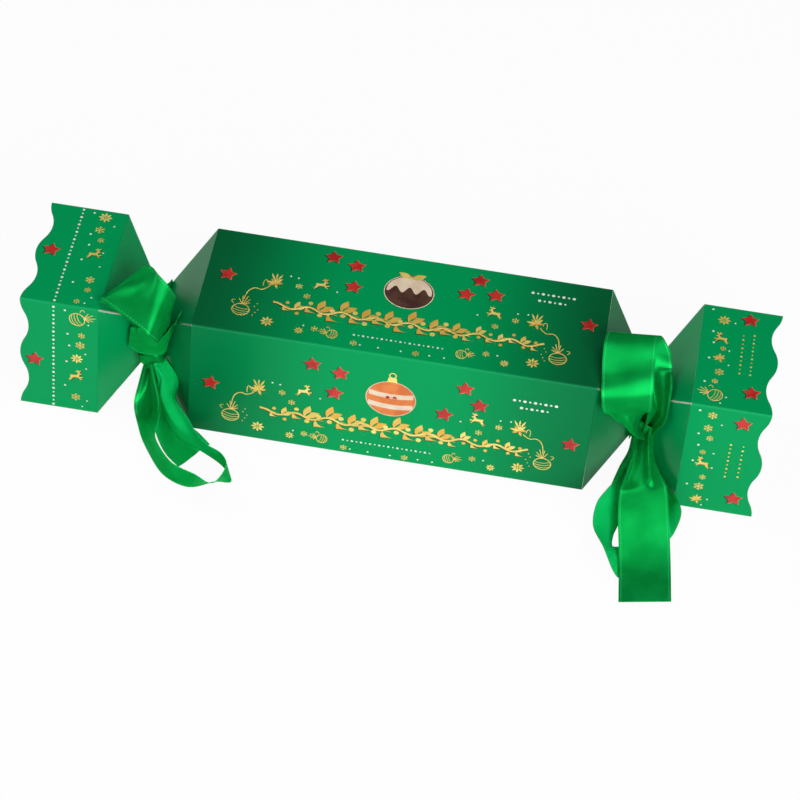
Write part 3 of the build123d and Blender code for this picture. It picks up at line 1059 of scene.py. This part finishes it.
    def centrepiece(self, sheet: Stencil, high: bool) -> None:
        """Draw a traditional motif in the middle: a pudding, or a striped bauble.

        Args:
            sheet: the face's print.
            high: whether the face is the top.
        """
        x, y = sheet.spot(*self.centre)
        turns = [math.tau * step / 40 for step in range(40)]
        wide, tall = self.ball_half
        ball = [(x + wide * math.cos(turn), y + tall * math.sin(turn)) for turn in turns]
        sheet.fill(Ink.BROWN if high else Ink.ORANGE, ball)
        sheet.stroke(Ink.CREAM, ball + ball[:1], 0.22)
        if high:
            self.icing(sheet, x, y)
        else:
            self.stripes(sheet, x, y)
        for shift in (-1.4, 0.2, 1.7):
            sheet.dot(Ink.RED, x + shift, y + (9.6 if high else 0.0) + 0.5 * abs(shift), 0.95)

    @staticmethod
    def icing(sheet: Stencil, x: float, y: float) -> None:
        """Draw a pudding's icing, with a wavy lower edge, and two leaves on top.

        Args:
            sheet: the face's print.
            x: middle along the carton.
            y: middle up the face.
        """
        shares = [-1 + step / 16 for step in range(33)]
        outline = [(x + 10.1 * share, y + 1.2 + 1.9 * math.cos(3.2 * math.pi * share)) for share in shares]
        turns = [math.pi * step / 20 for step in range(1, 20)]
        outline += [(x + 10.1 * math.cos(turn), y + 0.6 + 9.2 * math.sin(turn)) for turn in turns]
        sheet.fill(Ink.CREAM, outline)
        for lean in (28, 152):
            sheet.leaf(Ink.GOLD, (x, y + 8.6), math.radians(lean), 7.0, 1.7)

    @staticmethod
    def stripes(sheet: Stencil, x: float, y: float) -> None:
        """Draw a bauble's two bands, its cap and its ring.

        Args:
            sheet: the face's print.
            x: middle along the carton.
            y: middle up the face.
        """
        shares = (-0.94, -0.5, 0, 0.5, 0.94)
        for level in (3.0, -3.4):
            upper = [(x + 10.5 * s, y + level + 1.4 - 1.5 * (1 - s * s)) for s in shares]
            lower = [(x + 10.5 * s, y + level - 1.4 - 1.5 * (1 - s * s)) for s in reversed(shares)]
            sheet.fill(Ink.CREAM, upper + lower)
        cap = ((-2.2, 10.2), (2.2, 10.2), (1.8, 13.0), (-1.8, 13.0))
        sheet.fill(Ink.GOLD, [(x + across, y + up) for across, up in cap])
        turns = [math.tau * step / 10 for step in range(11)]
        ring = [(x + 1.5 * math.sin(turn), y + 14.3 - 1.5 * math.cos(turn)) for turn in turns]
        sheet.stroke(Ink.GOLD, ring, 0.28)

    @staticmethod
    def dot_line(sheet: Stencil, ink: Ink, line: Spot, count: int, radii: Flat) -> None:
        """Draw a line of dots up a sleeve.

        Args:
            sheet: the face's print.
            ink: its colour.
            line: its place along the carton, its lowest dot and its highest.
            count: how many dots it has.
            radii: the dots' radii in turn.
        """
        x, low, high = line
        dots = [(x, low + (high - low) * step / (count - 1)) for step in range(count)]
        sheet.dotted(ink, dots, radii)

    def sleeve_face(self, side: Side, panel: Panel) -> None:
        """Print one face of a sleeve.

        Args:
            side: the sleeve's end.
            panel: the face.
        """
        sheet = Stencil(f"{side.word}_sleeve_{panel.word}", panel)
        upper = panel in (Panel.TOP, Panel.BACK)
        column = self.column_reach * side.value
        if side is Side.LEFT:
            self.dot_line(sheet, Ink.WHITE, self.left_line, self.left_line_count, self.left_line_radii)
        else:
            for line in self.right_lines[upper]:
                count = int((line[2] - line[1]) / self.right_line_step)
                self.dot_line(sheet, Ink.GOLD, line, count, self.right_line_radii)
        for x, y in self.sleeve_stars[side, upper]:
            sheet.star(x, y, self.star_radius, 4.0 * side.value)
        simple = {Motif.FLAKE: sheet.flake, Motif.PETAL: sheet.petal_flake, Motif.BURST: sheet.burst}
        for motif, shift, y, size in self.columns[side, upper]:
            if motif is Motif.DEER:
                sheet.deer(column + shift, y, size, -side.value)
            elif motif is Motif.BAUBLE:
                sheet.bauble(column + shift, y, size, 70 * side.value, -side.value)
            else:
                simple[motif](column + shift, y, size)
        sheet.dotted(Ink.WHITE, [(column + shift, y) for shift, y in self.column_dots],
                     self.column_dot_radii)
        sheet.press(f"{side.word}_sleeve")

    def build(self) -> None:
        """Print every face that shows."""
        for panel in (Panel.TOP, Panel.FRONT, Panel.BACK):
            self.barrel_face(panel)
            for side in Side:
                self.sleeve_face(side, panel)


@dataclass
class CartonBoard:
    """The folding board of the barrel, the necks and the sleeves."""

    # how dark the barrel's ends get on each face: part print, part painted shade, set apart for each face
    vignettes: dict[Panel, float] = field(default_factory=lambda: {
        Panel.TOP: 0.80, Panel.FRONT: 0.55, Panel.BACK: 0.65, Panel.BOTTOM: 0.65})

    def dress(self) -> None:
        """Give every board node its finish."""
        ends = {panel: BoardFinish(panel).material() for panel in Panel}
        for panel in Panel:
            self.paint(f"barrel_{panel.word}_panel", BoardFinish(panel, self.vignettes[panel]).material())
            for side in Side:
                for node in ("inner_taper_{}", "outer_taper_{}", "sleeve_{}_panel"):
                    self.paint(f"{side.word}_{node.format(panel.word)}", ends[panel])
        for node in ("barrel_glue_flap", "left_sleeve_glue_flap", "right_sleeve_glue_flap"):
            self.paint(node, ends[Panel.BACK])

    def paint(self, node: str, material: Material) -> None:
        """Assign one finish to a node's slots.

        Args:
            node: the node's name.
            material: the finish.
        """
        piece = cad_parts[node]
        if not piece.material_slots:
            piece.data.materials.append(material)
        for slot in piece.material_slots:
            slot.material = material
        LOG.info("%s: %s", node, material.name)


class Held(Enum):
    """How a piece of ribbon keeps its shape."""

    GATHERED = "gathered"
    FOLDED = "folded"
    LAID = "laid"


class Matt(Enum):
    """Which face of a strand takes the lighter, dull copy of the satin, painted light for a face in shade, if
    any.
    """

    NONE = (0, 0)
    NEAR = (1, 0)
    FAR = (0, 1)


@dataclass(frozen=True)
class Rung:
    """One place along a ribbon: its middle, the way across it and the share of its width that is spread."""

    middle: Spot
    across: Spot
    spread: float


@dataclass
class Strand:
    """A run of satin ribbon, flat where it is spread and pleated where it is gathered."""

    side: Side
    name: str
    held: Held
    matt: Matt
    depth: Flat
    phase: float
    rungs: list[Rung]
    tucked: bool = False
    pleats: int = 3
    broad: float = 0.6
    skew: float = 0.05
    taut_share: float = 0.95
    easing: float = 0.14
    least_shown: float = 0.31
    spacing: float = 0.9
    samples: int = 24
    least_rows: int = 12
    columns: int = 44

    @staticmethod
    def between(points: list[Vector], index: int, share: float) -> Vector:
        """A point on the smooth curve between one point of a row and the next.

        Args:
            points: the row of points.
            index: the point before.
            share: how far to the next point, from 0 to 1.

        Returns:
            The point.
        """
        last = len(points) - 1
        first, second = points[index], points[index + 1]
        outward = (second - points[max(index - 1, 0)]) * 0.5
        inward = (points[min(index + 2, last)] - first) * 0.5
        reach = (second - first).length
        outward *= min(1.0, reach / max(outward.length, 1e-6))
        inward *= min(1.0, reach / max(inward.length, 1e-6))
        square, cube = share ** 2, share ** 3
        return (first * (2 * cube - 3 * square + 1) + outward * (cube - 2 * square + share)
                + second * (3 * square - 2 * cube) + inward * (cube - square))

    def selvedges(self) -> tuple[list[tuple[Vector, Vector]], float]:
        """Both selvedges at even steps along the strand.

        Returns:
            Pairs of points, and the strand's length, in millimetres.
        """
        near, far = [], []
        for rung in self.rungs:
            shift, forward, height = rung.middle
            middle = Vector((self.side.value * WAIST_PLACE + shift, forward, height))
            half = Vector(rung.across).normalized() * (RIBBON_WIDTH * rung.spread / 2)
            near.append(middle - half)
            far.append(middle + half)
        fine = []
        for index in range(len(near) - 1):
            for step in range(self.samples):
                share = step / self.samples
                fine.append((self.between(near, index, share), self.between(far, index, share)))
        fine.append((near[-1], far[-1]))
        run = [0.0]
        for before, after in zip(fine, fine[1:]):
            run.append(run[-1] + ((after[0] + after[1]) - (before[0] + before[1])).length / 2)
        length = run[-1]
        rows = max(self.least_rows, int(length / self.spacing))
        even, index = [], 0
        for row in range(rows + 1):
            target = length * row / rows
            while index < len(run) - 2 and run[index + 1] < target:
                index += 1
            share = (target - run[index]) / max(run[index + 1] - run[index], 1e-9)
            even.append(tuple(fine[index][k].lerp(fine[index + 1][k], share) for k in (0, 1)))
        return even, length

    def folds(self, edges: list[tuple[Vector, Vector]]) -> list[tuple[Vector, Vector, Vector, float]]:
        """How each row of the sheet lies and folds.

        Args:
            edges: both selvedges, row by row.

        Returns:
            For each row its near selvedge, the way to the far one, the sheet's normal and the slack.
        """
        last = len(edges) - 1
        rows = []
        for row, (near, far) in enumerate(edges):
            before, after = edges[max(row - 1, 0)], edges[min(row + 1, last)]
            chord = far - near
            normal = (after[0] + after[1] - before[0] - before[1]).cross(chord).normalized()
            taut = min(1.0, chord.length / (self.taut_share * RIBBON_WIDTH))
            depth = self.depth[0] + (self.depth[1] - self.depth[0]) * row / last
            slack = depth * RIBBON_WIDTH * math.sqrt(1 - taut * taut) * ease(1 - taut, 0.0, self.easing)
            rows.append((near, chord, normal, slack))
        return rows

    def build(self, finishes: tuple[Material, Material]) -> None:
        """Make the strand as one sheet of cloth.

        Args:
            finishes: the ribbon's satin face, and its lighter dull copy that paints light on faces in shade.
        """
        edges, length = self.selvedges()
        folds = self.folds(edges)
        rows = len(edges) - 1

        def bend(row: int, column: int) -> Vector:
            """A point of the pleated sheet, in millimetres.

            Args:
                row: step along the strand.
                column: step across it.

            Returns:
                The point.
            """
            near, chord, normal, slack = folds[row]
            share = column / self.columns
            bent = share + self.skew * math.sin(math.tau * share + self.phase)
            wave = self.broad * slack / 4 * math.cos(math.tau * bent + self.phase)
            wave += (1 - self.broad) * slack / (4 * self.pleats) * math.cos(math.tau * self.pleats * bent)
            return near + chord * share + normal * wave

        piece = lay_grid(f"{self.side.word}_bow_{self.name}", self.columns, rows, bend)
        chart_ribbon(piece, self.columns,
                     lambda row, column: (column / self.columns, row / rows * length / RIBBON_WIDTH))
        # one face may take the lighter copy of the satin, painted light for a face in shade
        finish_ribbon(piece, self.side, self.name, [finishes[choice] for choice in self.matt.value])
        LOG.info("%s: %.0f mm of ribbon", piece.name, length)


@dataclass
class Knot:
    """The tight knot: a turn of ribbon round the strands, gathered into slanted folds."""

    side: Side
    middle: Spot
    half: Spot = (5.2, 3.9, 4.2)
    lean: float = 30.0
    folds: int = 2
    fold_depth: float = 0.085
    fold_slant: float = 0.8
    fold_fade: Flat = (1.05, 0.3)
    tuck: float = 0.42
    tuck_start: float = 0.62
    shoulder: float = 0.80
    dip: float = 0.35
    height_share: float = 0.94
    squareness: float = 3
    shown_start: float = 0.08
    shown_share: float = 0.84
    widths_round: float = 1.5
    around: int = 72
    rows: int = 36
    flat_metres: Flat = (0.013, 0.028)

    def point(self, row: int, column: int) -> Vector:
        """A point of the knot's skin.

        Args:
            row: step across the turn of ribbon.
            column: step along it.

        Returns:
            The point, in millimetres.
        """
        angle = math.tau * column / self.around
        up = -1 + 2 * row / self.rows
        tuck = 1 - self.tuck * ease(abs(up), self.tuck_start, 1.0)
        wave = self.fold_depth * math.cos(math.pi * self.folds * up + self.fold_slant * math.sin(angle))
        start, span = self.fold_fade
        fold = 1 + wave * ease(start - abs(up), 0, span)
        lift = math.sin(0.5 * math.pi * min(1.0, abs(up) / self.shoulder)) * (1 if up > 0 else -1)
        if abs(up) > self.shoulder:
            lift *= 1 - self.dip * ease(abs(up), self.shoulder, 1.0)
        square = squared(angle, self.squareness)
        spot = Vector((self.half[0] * math.cos(angle) * square * tuck * fold,
                       self.half[1] * math.sin(angle) * square * tuck * fold,
                       self.half[2] * self.height_share * lift))
        tilt = Matrix.Rotation(math.radians(self.lean * self.side.value), 3, "Y")
        return tilt @ spot + Vector(self.middle)

    def build(self, material: Material) -> None:
        """Make the knot.

        Args:
            material: the ribbon's finish.
        """
        piece = lay_grid(f"{self.side.word}_bow_knot", self.around, self.rows, self.point)
        chart_ribbon(piece, self.around,
                     lambda row, column: (self.shown_start + self.shown_share * row / self.rows,
                                          self.widths_round * column / self.around))
        close_seam(piece)
        finish_ribbon(piece, self.side, "knot", [material], -1.0)
        LOG.info("%s: tied", piece.name)


@dataclass
class Wrap:
    """The turn of ribbon gathered in the groove of a neck."""

    side: Side
    reach: float = 3.4
    waist: float = 17.0
    slope: float = 48.9
    seat: float = 1.30
    pleats: int = 5
    pleat_depth: float = 0.95
    pleat_sway: float = 0.10
    pleat_fade: Flat = (1.12, 0.25)
    corner_span: Flat = (0.70, 0.82)
    crease_round: float = 0.5
    squareness: float = 12
    widths_round: float = 5.0
    around: int = 160
    rows: int = 56
    flat_metres: Flat = (0.023, 0.092)

    def point(self, row: int, column: int) -> Vector:
        """A point of the wrap's skin.

        Args:
            row: step across the ribbon.
            column: step round the neck.

        Returns:
            The point, in millimetres.
        """
        angle = math.tau * column / self.around
        slope = math.radians(self.slope)
        shift = self.reach * (-1 + 2 * row / self.rows)
        along = math.hypot(shift, self.crease_round)
        half = self.waist / 2 + along * math.tan(slope) + self.seat / math.cos(slope)
        corner = max(abs(math.cos(angle)), abs(math.sin(angle)))
        turn = math.tau * (row / self.rows * self.pleats + self.pleat_sway * math.sin(2 * angle))
        pleat = self.pleat_depth * math.cos(turn)
        start, span = self.pleat_fade
        pleat *= ease(corner, *self.corner_span) * ease(start - abs(shift) / self.reach, 0.0, span)
        reach = (half + pleat) * min(1 / corner, squared(angle, self.squareness))
        return Vector((self.side.value * WAIST_PLACE + shift, reach * math.cos(angle),
                       HALF_SECTION + reach * math.sin(angle)))

    def build(self, material: Material) -> None:
        """Make the wrap.

        Args:
            material: the ribbon's finish.
        """
        piece = lay_grid(f"{self.side.word}_bow_wrap", self.around, self.rows, self.point)
        chart_ribbon(piece, self.around,
                     lambda row, column: (row / self.rows, self.widths_round * column / self.around))
        close_seam(piece)
        finish_ribbon(piece, self.side, "wrap", [material])
        LOG.info("%s: wrapped", piece.name)


@dataclass
class Bow:
    """One end's satin bow: the wrap, the knot, two loops, a tail and, on the left, the turn over the knot."""

    side: Side
    knot: Spot
    strands: tuple[Strand, ...]

    def build(self, satin: Material, painted_lit_satin: Material) -> None:
        """Make the bow's pieces.

        Args:
            satin: the finish of the ribbon's face.
            painted_lit_satin: the lighter dull copy of the satin, painted light for faces in shade.
        """
        Wrap(self.side).build(satin)
        Knot(self.side, self.knot).build(satin)
        for strand in self.strands:
            strand.build((satin, painted_lit_satin))


LEFT_BOW = Bow(Side.LEFT, (-108.6, -18.7, 28.4), (
    Strand(Side.LEFT, "upper_loop", Held.FOLDED, Matt.NONE, (0.5, 0.5), 0.0, [
        Rung((3.0, -19.5, 31.0), (2, 3, 3), 0.20), Rung((4.6, -18.6, 41.5), (3, 5, 8), 0.40),
        Rung((6.4, -19.6, 49.5), (4, 4, 9), 0.52), Rung((8.6, -25.0, 56.5), (4, 14, 13), 0.88),
        Rung((8.2, -28.0, 61.8), (5, 15, 14), 0.95), Rung((5.6, -28.6, 66.0), (4, 17, 15), 1.04),
        Rung((1.4, -27.0, 69.0), (2, 20, 18), 1.12), Rung((-5.6, -23.2, 71.0), (8, 16, 10), 1.08),
        Rung((-11.9, -19.5, 70.5), (8, 10, 3), 1.12), Rung((-13.7, -18.6, 68.7), (8, 10, 3), 1.12),
        Rung((-10.9, -18.2, 66.8), (8, 10, 3), 1.10), Rung((-5.5, -19.0, 59.5), (11, 16, 8), 0.78),
        Rung((-3.0, -18.6, 49.0), (7, 6, 8), 0.48), Rung((-0.8, -18.8, 39.5), (4, 3, 5), 0.30),
        Rung((0.5, -19.2, 31.0), (3, 3, 2), 0.20)]),
    Strand(Side.LEFT, "hanging_loop", Held.FOLDED, Matt.NEAR, (1.0, 1.0), 0.9, [
        Rung((1.0, -20.5, 25.5), (3, -1, 1), 0.20), Rung((2.2, -27.0, 18.0), (12, -5, 7), 0.50),
        Rung((3.3, -34.5, 13.0), (13, -7, 10), 0.80), Rung((5.2, -45.0, 10.4), (9, -9, 15), 0.95),
        Rung((8.2, -54.4, 10.2), (6, -11, 18), 1.00), Rung((18.2, -68.2, 10.6), (5, -10, 19), 1.00),
        Rung((30.0, -73.0, 10.4), (4, -10, 19), 1.00), Rung((39.6, -70.6, 9.0), (1, -13, 13), 1.00),
        Rung((45.2, -65.8, 10.6), (-1, -10, 19), 1.00), Rung((40.8, -58.6, 11.2), (1, -11, 19), 1.00),
        Rung((31.2, -53.6, 12.2), (3, -12, 18), 1.00), Rung((20.7, -46.3, 13.3), (8, -8, 17), 0.87),
        Rung((11.0, -33.0, 17.2), (5, -8, 10), 0.60), Rung((9.2, -25.4, 22.0), (6, -2, 3), 0.42),
        Rung((4.5, -20.5, 27.5), (2, -1, 2), 0.20)]),
    Strand(Side.LEFT, "tail", Held.LAID, Matt.FAR, (1.4, 0.4), 1.8, [
        Rung((3.0, -19.5, 25.5), (4, 1, 0), 0.20), Rung((7.5, -25.0, 12.0), (7, 4, 1), 0.35),
        Rung((13.2, -36.0, 5.0), (10, 8, 0), 0.62), Rung((20.2, -43.0, 1.6), (11, 14, 0), 0.85),
        Rung((26.8, -48.6, 0.7), (12, 18, 0), 0.86)]),
    Strand(Side.LEFT, "fold", Held.FOLDED, Matt.NONE, (0.10, 0.0), 2.7, [
        Rung((-8.4, -22.8, 41.8), (1, 1, 16), 0.50), Rung((-2.8, -22.9, 40.3), (2, 0, 18), 0.66),
        Rung((3.4, -23.2, 39.0), (3, 0, 14), 0.50), Rung((7.4, -23.1, 41.0), (0, 0, 14), 0.50),
        Rung((9.6, -22.9, 47.5), (1, 0, 10), 0.40), Rung((11.6, -23.4, 54.0), (2, 2, 6), 0.16),
        Rung((13.7, -18.1, 58.0), (2, 2, 3), 0.02)], tucked=True)))
RIGHT_BOW = Bow(Side.RIGHT, (111.5, -18.5, 33.0), (
    Strand(Side.RIGHT, "upper_loop", Held.FOLDED, Matt.NONE, (1.5, 0.8), 0.0, [
        Rung((0.5, -20.5, 33.5), (4, 3, -1), 0.22), Rung((-3.3, -26.0, 39.5), (12, 8, -3), 0.50),
        Rung((-5.2, -30.0, 46.5), (19, 9, -3), 0.76), Rung((-6.4, -31.8, 54.0), (21, 7, -2), 0.96),
        Rung((-7.4, -30.0, 61.0), (21, 6, -2), 1.00), Rung((-8.2, -25.0, 66.6), (22, 5, -1), 1.00),
        Rung((-9.0, -18.0, 71.0), (22, 4, 0), 1.00), Rung((-9.4, -11.0, 74.0), (22, 4, 0), 1.00),
        Rung((-8.8, -6.0, 74.6), (22, 3, 0), 1.00), Rung((-6.6, -4.0, 72.2), (22, 2, -1), 1.00),
        Rung((-2.8, -5.6, 67.0), (22, 0, -2), 1.00), Rung((0.3, -9.5, 61.5), (20, 0, -5), 0.90),
        Rung((4.3, -19.0, 57.0), (16, 0, -6), 0.60), Rung((6.7, -24.3, 47.8), (9, 0, -3), 0.38),
        Rung((5.8, -22.5, 40.5), (6, 0, -1), 0.28), Rung((4.4, -20.5, 34.0), (5, 0, -1), 0.20)]),
    Strand(Side.RIGHT, "hanging_loop", Held.FOLDED, Matt.FAR, (1.0, 1.0), 0.9, [
        Rung((0.6, -20.3, 31.0), (3, 2, -1), 0.20), Rung((0.4, -25.2, 22.0), (5, 5, -7), 0.30),
        Rung((-2.0, -29.5, 14.2), (6, 7, -11), 0.55), Rung((-4.6, -41.0, 10.6), (8, 8, -16), 0.90),
        Rung((-7.6, -53.5, 10.6), (9, 6, -16), 1.00), Rung((-8.4, -63.5, 9.9), (8, 10, -15), 1.00),
        Rung((-5.2, -71.2, 8.9), (4, 13.5, -14), 1.00), Rung((3.2, -71.0, 1.8), (3, 22, -0.5), 1.00),
        Rung((7.6, -60.5, 0.9), (-8, 21, 0), 1.00), Rung((10.8, -50.5, 1.6), (-15, 15, -2), 1.00),
        Rung((15.0, -44.4, 2.6), (-12, 14, -3), 1.00), Rung((19.6, -41.0, 8.0), (-7, 13, -12), 1.00),
        Rung((14.2, -30.2, 6.4), (-6, 5, -8), 0.54), Rung((6.5, -21.5, 13.0), (-6, 3, -3), 0.35),
        Rung((4.2, -17.6, 31.0), (-4, 1, -1), 0.20)]),
    Strand(Side.RIGHT, "tail", Held.LAID, Matt.NONE, (1.0, 0.0), 1.8, [
        Rung((3.0, -21.3, 32.0), (5, 2, 0), 0.22), Rung((3.8, -30.1, 26.9), (8, 2, 0), 0.40),
        Rung((4.7, -36.3, 23.2), (13, 4, 0), 0.62), Rung((6.0, -43.8, 19.2), (20, 7, 0), 0.92),
        Rung((7.7, -53.6, 14.1), (21, 7, 0), 0.99), Rung((10.2, -66.6, 8.5), (21, 7, 0), 1.00),
        Rung((12.2, -79.8, 4.7), (22, 6, 0), 1.00), Rung((13.9, -94.6, 3.2), (22, 5, 0), 1.00)])))


@dataclass
class TreatBag:
    """The filled pillow bag that lies in the barrel."""

    length: float = 148.0
    width: float = 54.0
    height: float = 38.0
    seal: float = 9.0
    floor: float = 0.5
    plump_powers: Flat = (3.2, 0.62)
    skin: float = 0.3
    seal_half: float = 0.35
    drawn_in: float = 2.2
    squareness: float = 2.6
    wrinkles: int = 11
    wrinkle_depth: float = 0.9
    wrinkle_span: Flat = (0.35, 0.9)
    lump_height: float = 0.8
    crimp_height: float = 0.12
    least_lift: float = 0.15
    rows: int = 120
    around: int = 72

    def point(self, row: int, column: int) -> Vector:
        """A point of the bag's skin.

        Args:
            row: step along the bag.
            column: step round it.

        Returns:
            The point, in millimetres.
        """
        half = self.length / 2
        belly = half - self.seal
        along = half * (-1 + 2 * row / self.rows)
        angle = math.tau * column / self.around
        end = min(1.0, abs(along) / belly)
        inner, outer = self.plump_powers
        plump = max(0.0, 1 - end ** inner) ** outer
        tall = max(self.seal_half, self.height / 2 * plump - self.skin)
        wide = self.width / 2 - self.drawn_in * plump * ease(end, 1.0, 0.4)
        square = squared(angle, self.squareness)
        wrinkle = self.wrinkle_depth * math.sin(self.wrinkles * angle + 0.6 * math.sin(3 * angle))
        wrinkle = wrinkle * ease(end, *self.wrinkle_span) * plump
        lumps = self.lump_height * math.sin(0.21 * along + 2 * angle)
        lumps = lumps * math.sin(3 * angle + 0.13 * along) * plump
        if abs(along) > belly:
            wrinkle = self.crimp_height * math.cos(math.pi * (abs(along) - belly))
            lumps = 0.0
        across = wide * math.cos(angle) * square
        up = (tall + (wrinkle + lumps) * abs(math.sin(angle))) * math.sin(angle) * square
        up = max(up, -self.height / 2 + self.least_lift)
        return Vector((along, across, self.floor + self.height / 2 + up))

    def build(self) -> None:
        """Make the bag."""
        piece = lay_grid("treat_bag", self.around, self.rows, self.point)
        close_seam(piece, cap_ends=True)
        smooth_shade(piece, 50)
        piece.data.materials.append(FilmFinish().material())
        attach(piece, "barrel")
        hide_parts("treat_pouch")
        LOG.info("%s: filled", piece.name)


@dataclass
class Studio:
    """The pale floor, the soft lights and the camera, in metres."""

    lens: float = 156.15
    eye: Spot = (0.09183, -1.09954, 1.11388)
    right: Spot = (0.98612, 0.15072, 0.06963)
    down: Spot = (0.15576, -0.69469, -0.70224)
    surround: float = 0.07
    floor_size: float = 8.0
    floor_white: float = 0.95
    lamps: tuple[tuple[str, Spot, Spot, float, float], ...] = (
        ("key", (0.60, -1.35, 0.75), (0.0, 0.0, 0.03), 0.95, 22.2),
        ("overhead_right", (0.36, -0.10, 1.5), (0.0, 0.0, 0.0), 0.48, 4.6),
        ("overhead_left", (-0.75, 0.05, 1.4), (-0.1, 0.0, 0.0), 0.48, 4.4),
        ("fill", (-0.75, -0.95, 0.95), (0.0, -0.03, 0.03), 0.6, 3.5),
        ("left_card", (-1.10, 0.75, 0.35), (0.0, 0.0, 0.03), 0.9, 2.0))

    def build(self) -> None:
        """Set up the whole studio."""
        bpy.context.scene.view_settings.view_transform = "Standard"
        self.aim()
        self.lay_floor()
        for lamp in self.lamps:
            self.light(*lamp)
        self.sky()

    def aim(self) -> None:
        """Add the camera at the photograph's viewing angle."""
        data = bpy.data.cameras.new("camera")
        data.lens = self.lens
        data.sensor_width = 36.0
        data.clip_end = 30.0
        camera = bpy.data.objects.new("camera", data)
        right, up = Vector(self.right), -Vector(self.down)
        camera.matrix_world = Matrix.LocRotScale(
            Vector(self.eye), Matrix((right, up, right.cross(up))).transposed(), None)
        bpy.context.collection.objects.link(camera)
        bpy.context.scene.camera = camera

    def lay_floor(self) -> None:
        """Add the pale floor, white to the camera, with the object's shadow kept."""
        clear_selection()
        bpy.ops.mesh.primitive_plane_add(size=self.floor_size, location=(0, 0, 0))
        floor = bpy.context.object
        floor.name = "floor"
        nodes = Nodes("floor")
        nodes.set(Base_Color=(0.86, 0.86, 0.86), Roughness=0.8, Specular_IOR_Level=0.1)
        rays = nodes.add("LightPath")
        seen = nodes.math("MAXIMUM", rays.outputs["Is Camera Ray"], rays.outputs["Is Glossy Ray"])
        seen = nodes.math("MAXIMUM", seen, rays.outputs["Is Transmission Ray"])
        white = nodes.add("Emission", {"Color": (1.0, 1.0, 1.0), "Strength": 1.0})
        blend = nodes.add("MixShader", {0: nodes.times(seen, self.floor_white)})
        nodes.join(nodes.shader.outputs[0], blend.inputs[1])
        nodes.join(white.outputs[0], blend.inputs[2])
        nodes.join(blend.outputs[0], nodes.output.inputs["Surface"])
        floor.data.materials.append(nodes.material)

    def light(self, name: str, where: Spot, target: Spot, size: float, power: float) -> None:
        """Add one soft square light.

        Args:
            name: the light's name.
            where: its place.
            target: the point that it faces.
            size: its side.
            power: its power in watts.
        """
        data = bpy.data.lights.new(name, "AREA")
        data.size = size
        data.energy = power
        lamp = bpy.data.objects.new(name, data)
        lamp.location = where
        lamp.rotation_euler = (Vector(target) - Vector(where)).to_track_quat("-Z", "Y").to_euler()
        bpy.context.collection.objects.link(lamp)

    def sky(self) -> None:
        """Set an even pale surround."""
        world = bpy.data.worlds.new("studio")
        bpy.context.scene.world = world
        world.use_nodes = True
        background = world.node_tree.nodes["Background"]
        background.inputs["Color"].default_value = (1.0, 1.0, 1.0, 1.0)
        background.inputs["Strength"].default_value = self.surround


def main() -> None:
    """Build the whole scene and note its size."""
    logging.basicConfig(level=logging.INFO, format="%(name)s: %(message)s")
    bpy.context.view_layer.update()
    Studio().build()
    INKS.update({ink: ink.value.material() for ink in Ink})
    CartonBoard().dress()
    CartonPrint().build()
    satin = SatinFinish().material()
    # a lighter, dull copy of the satin: painted light for the hanging loops and the left tail, whose faces
    # lie in shade
    painted_lit_satin = SatinFinish("satin_reverse", (0.004, 0.60, 0.135), (0.003, 0.48, 0.10), metallic=0.0,
                          roughness=0.6).material()
    for bow in (LEFT_BOW, RIGHT_BOW):
        bow.build(satin, painted_lit_satin)
    TreatBag().build()


if __name__ == "__main__":
    main()
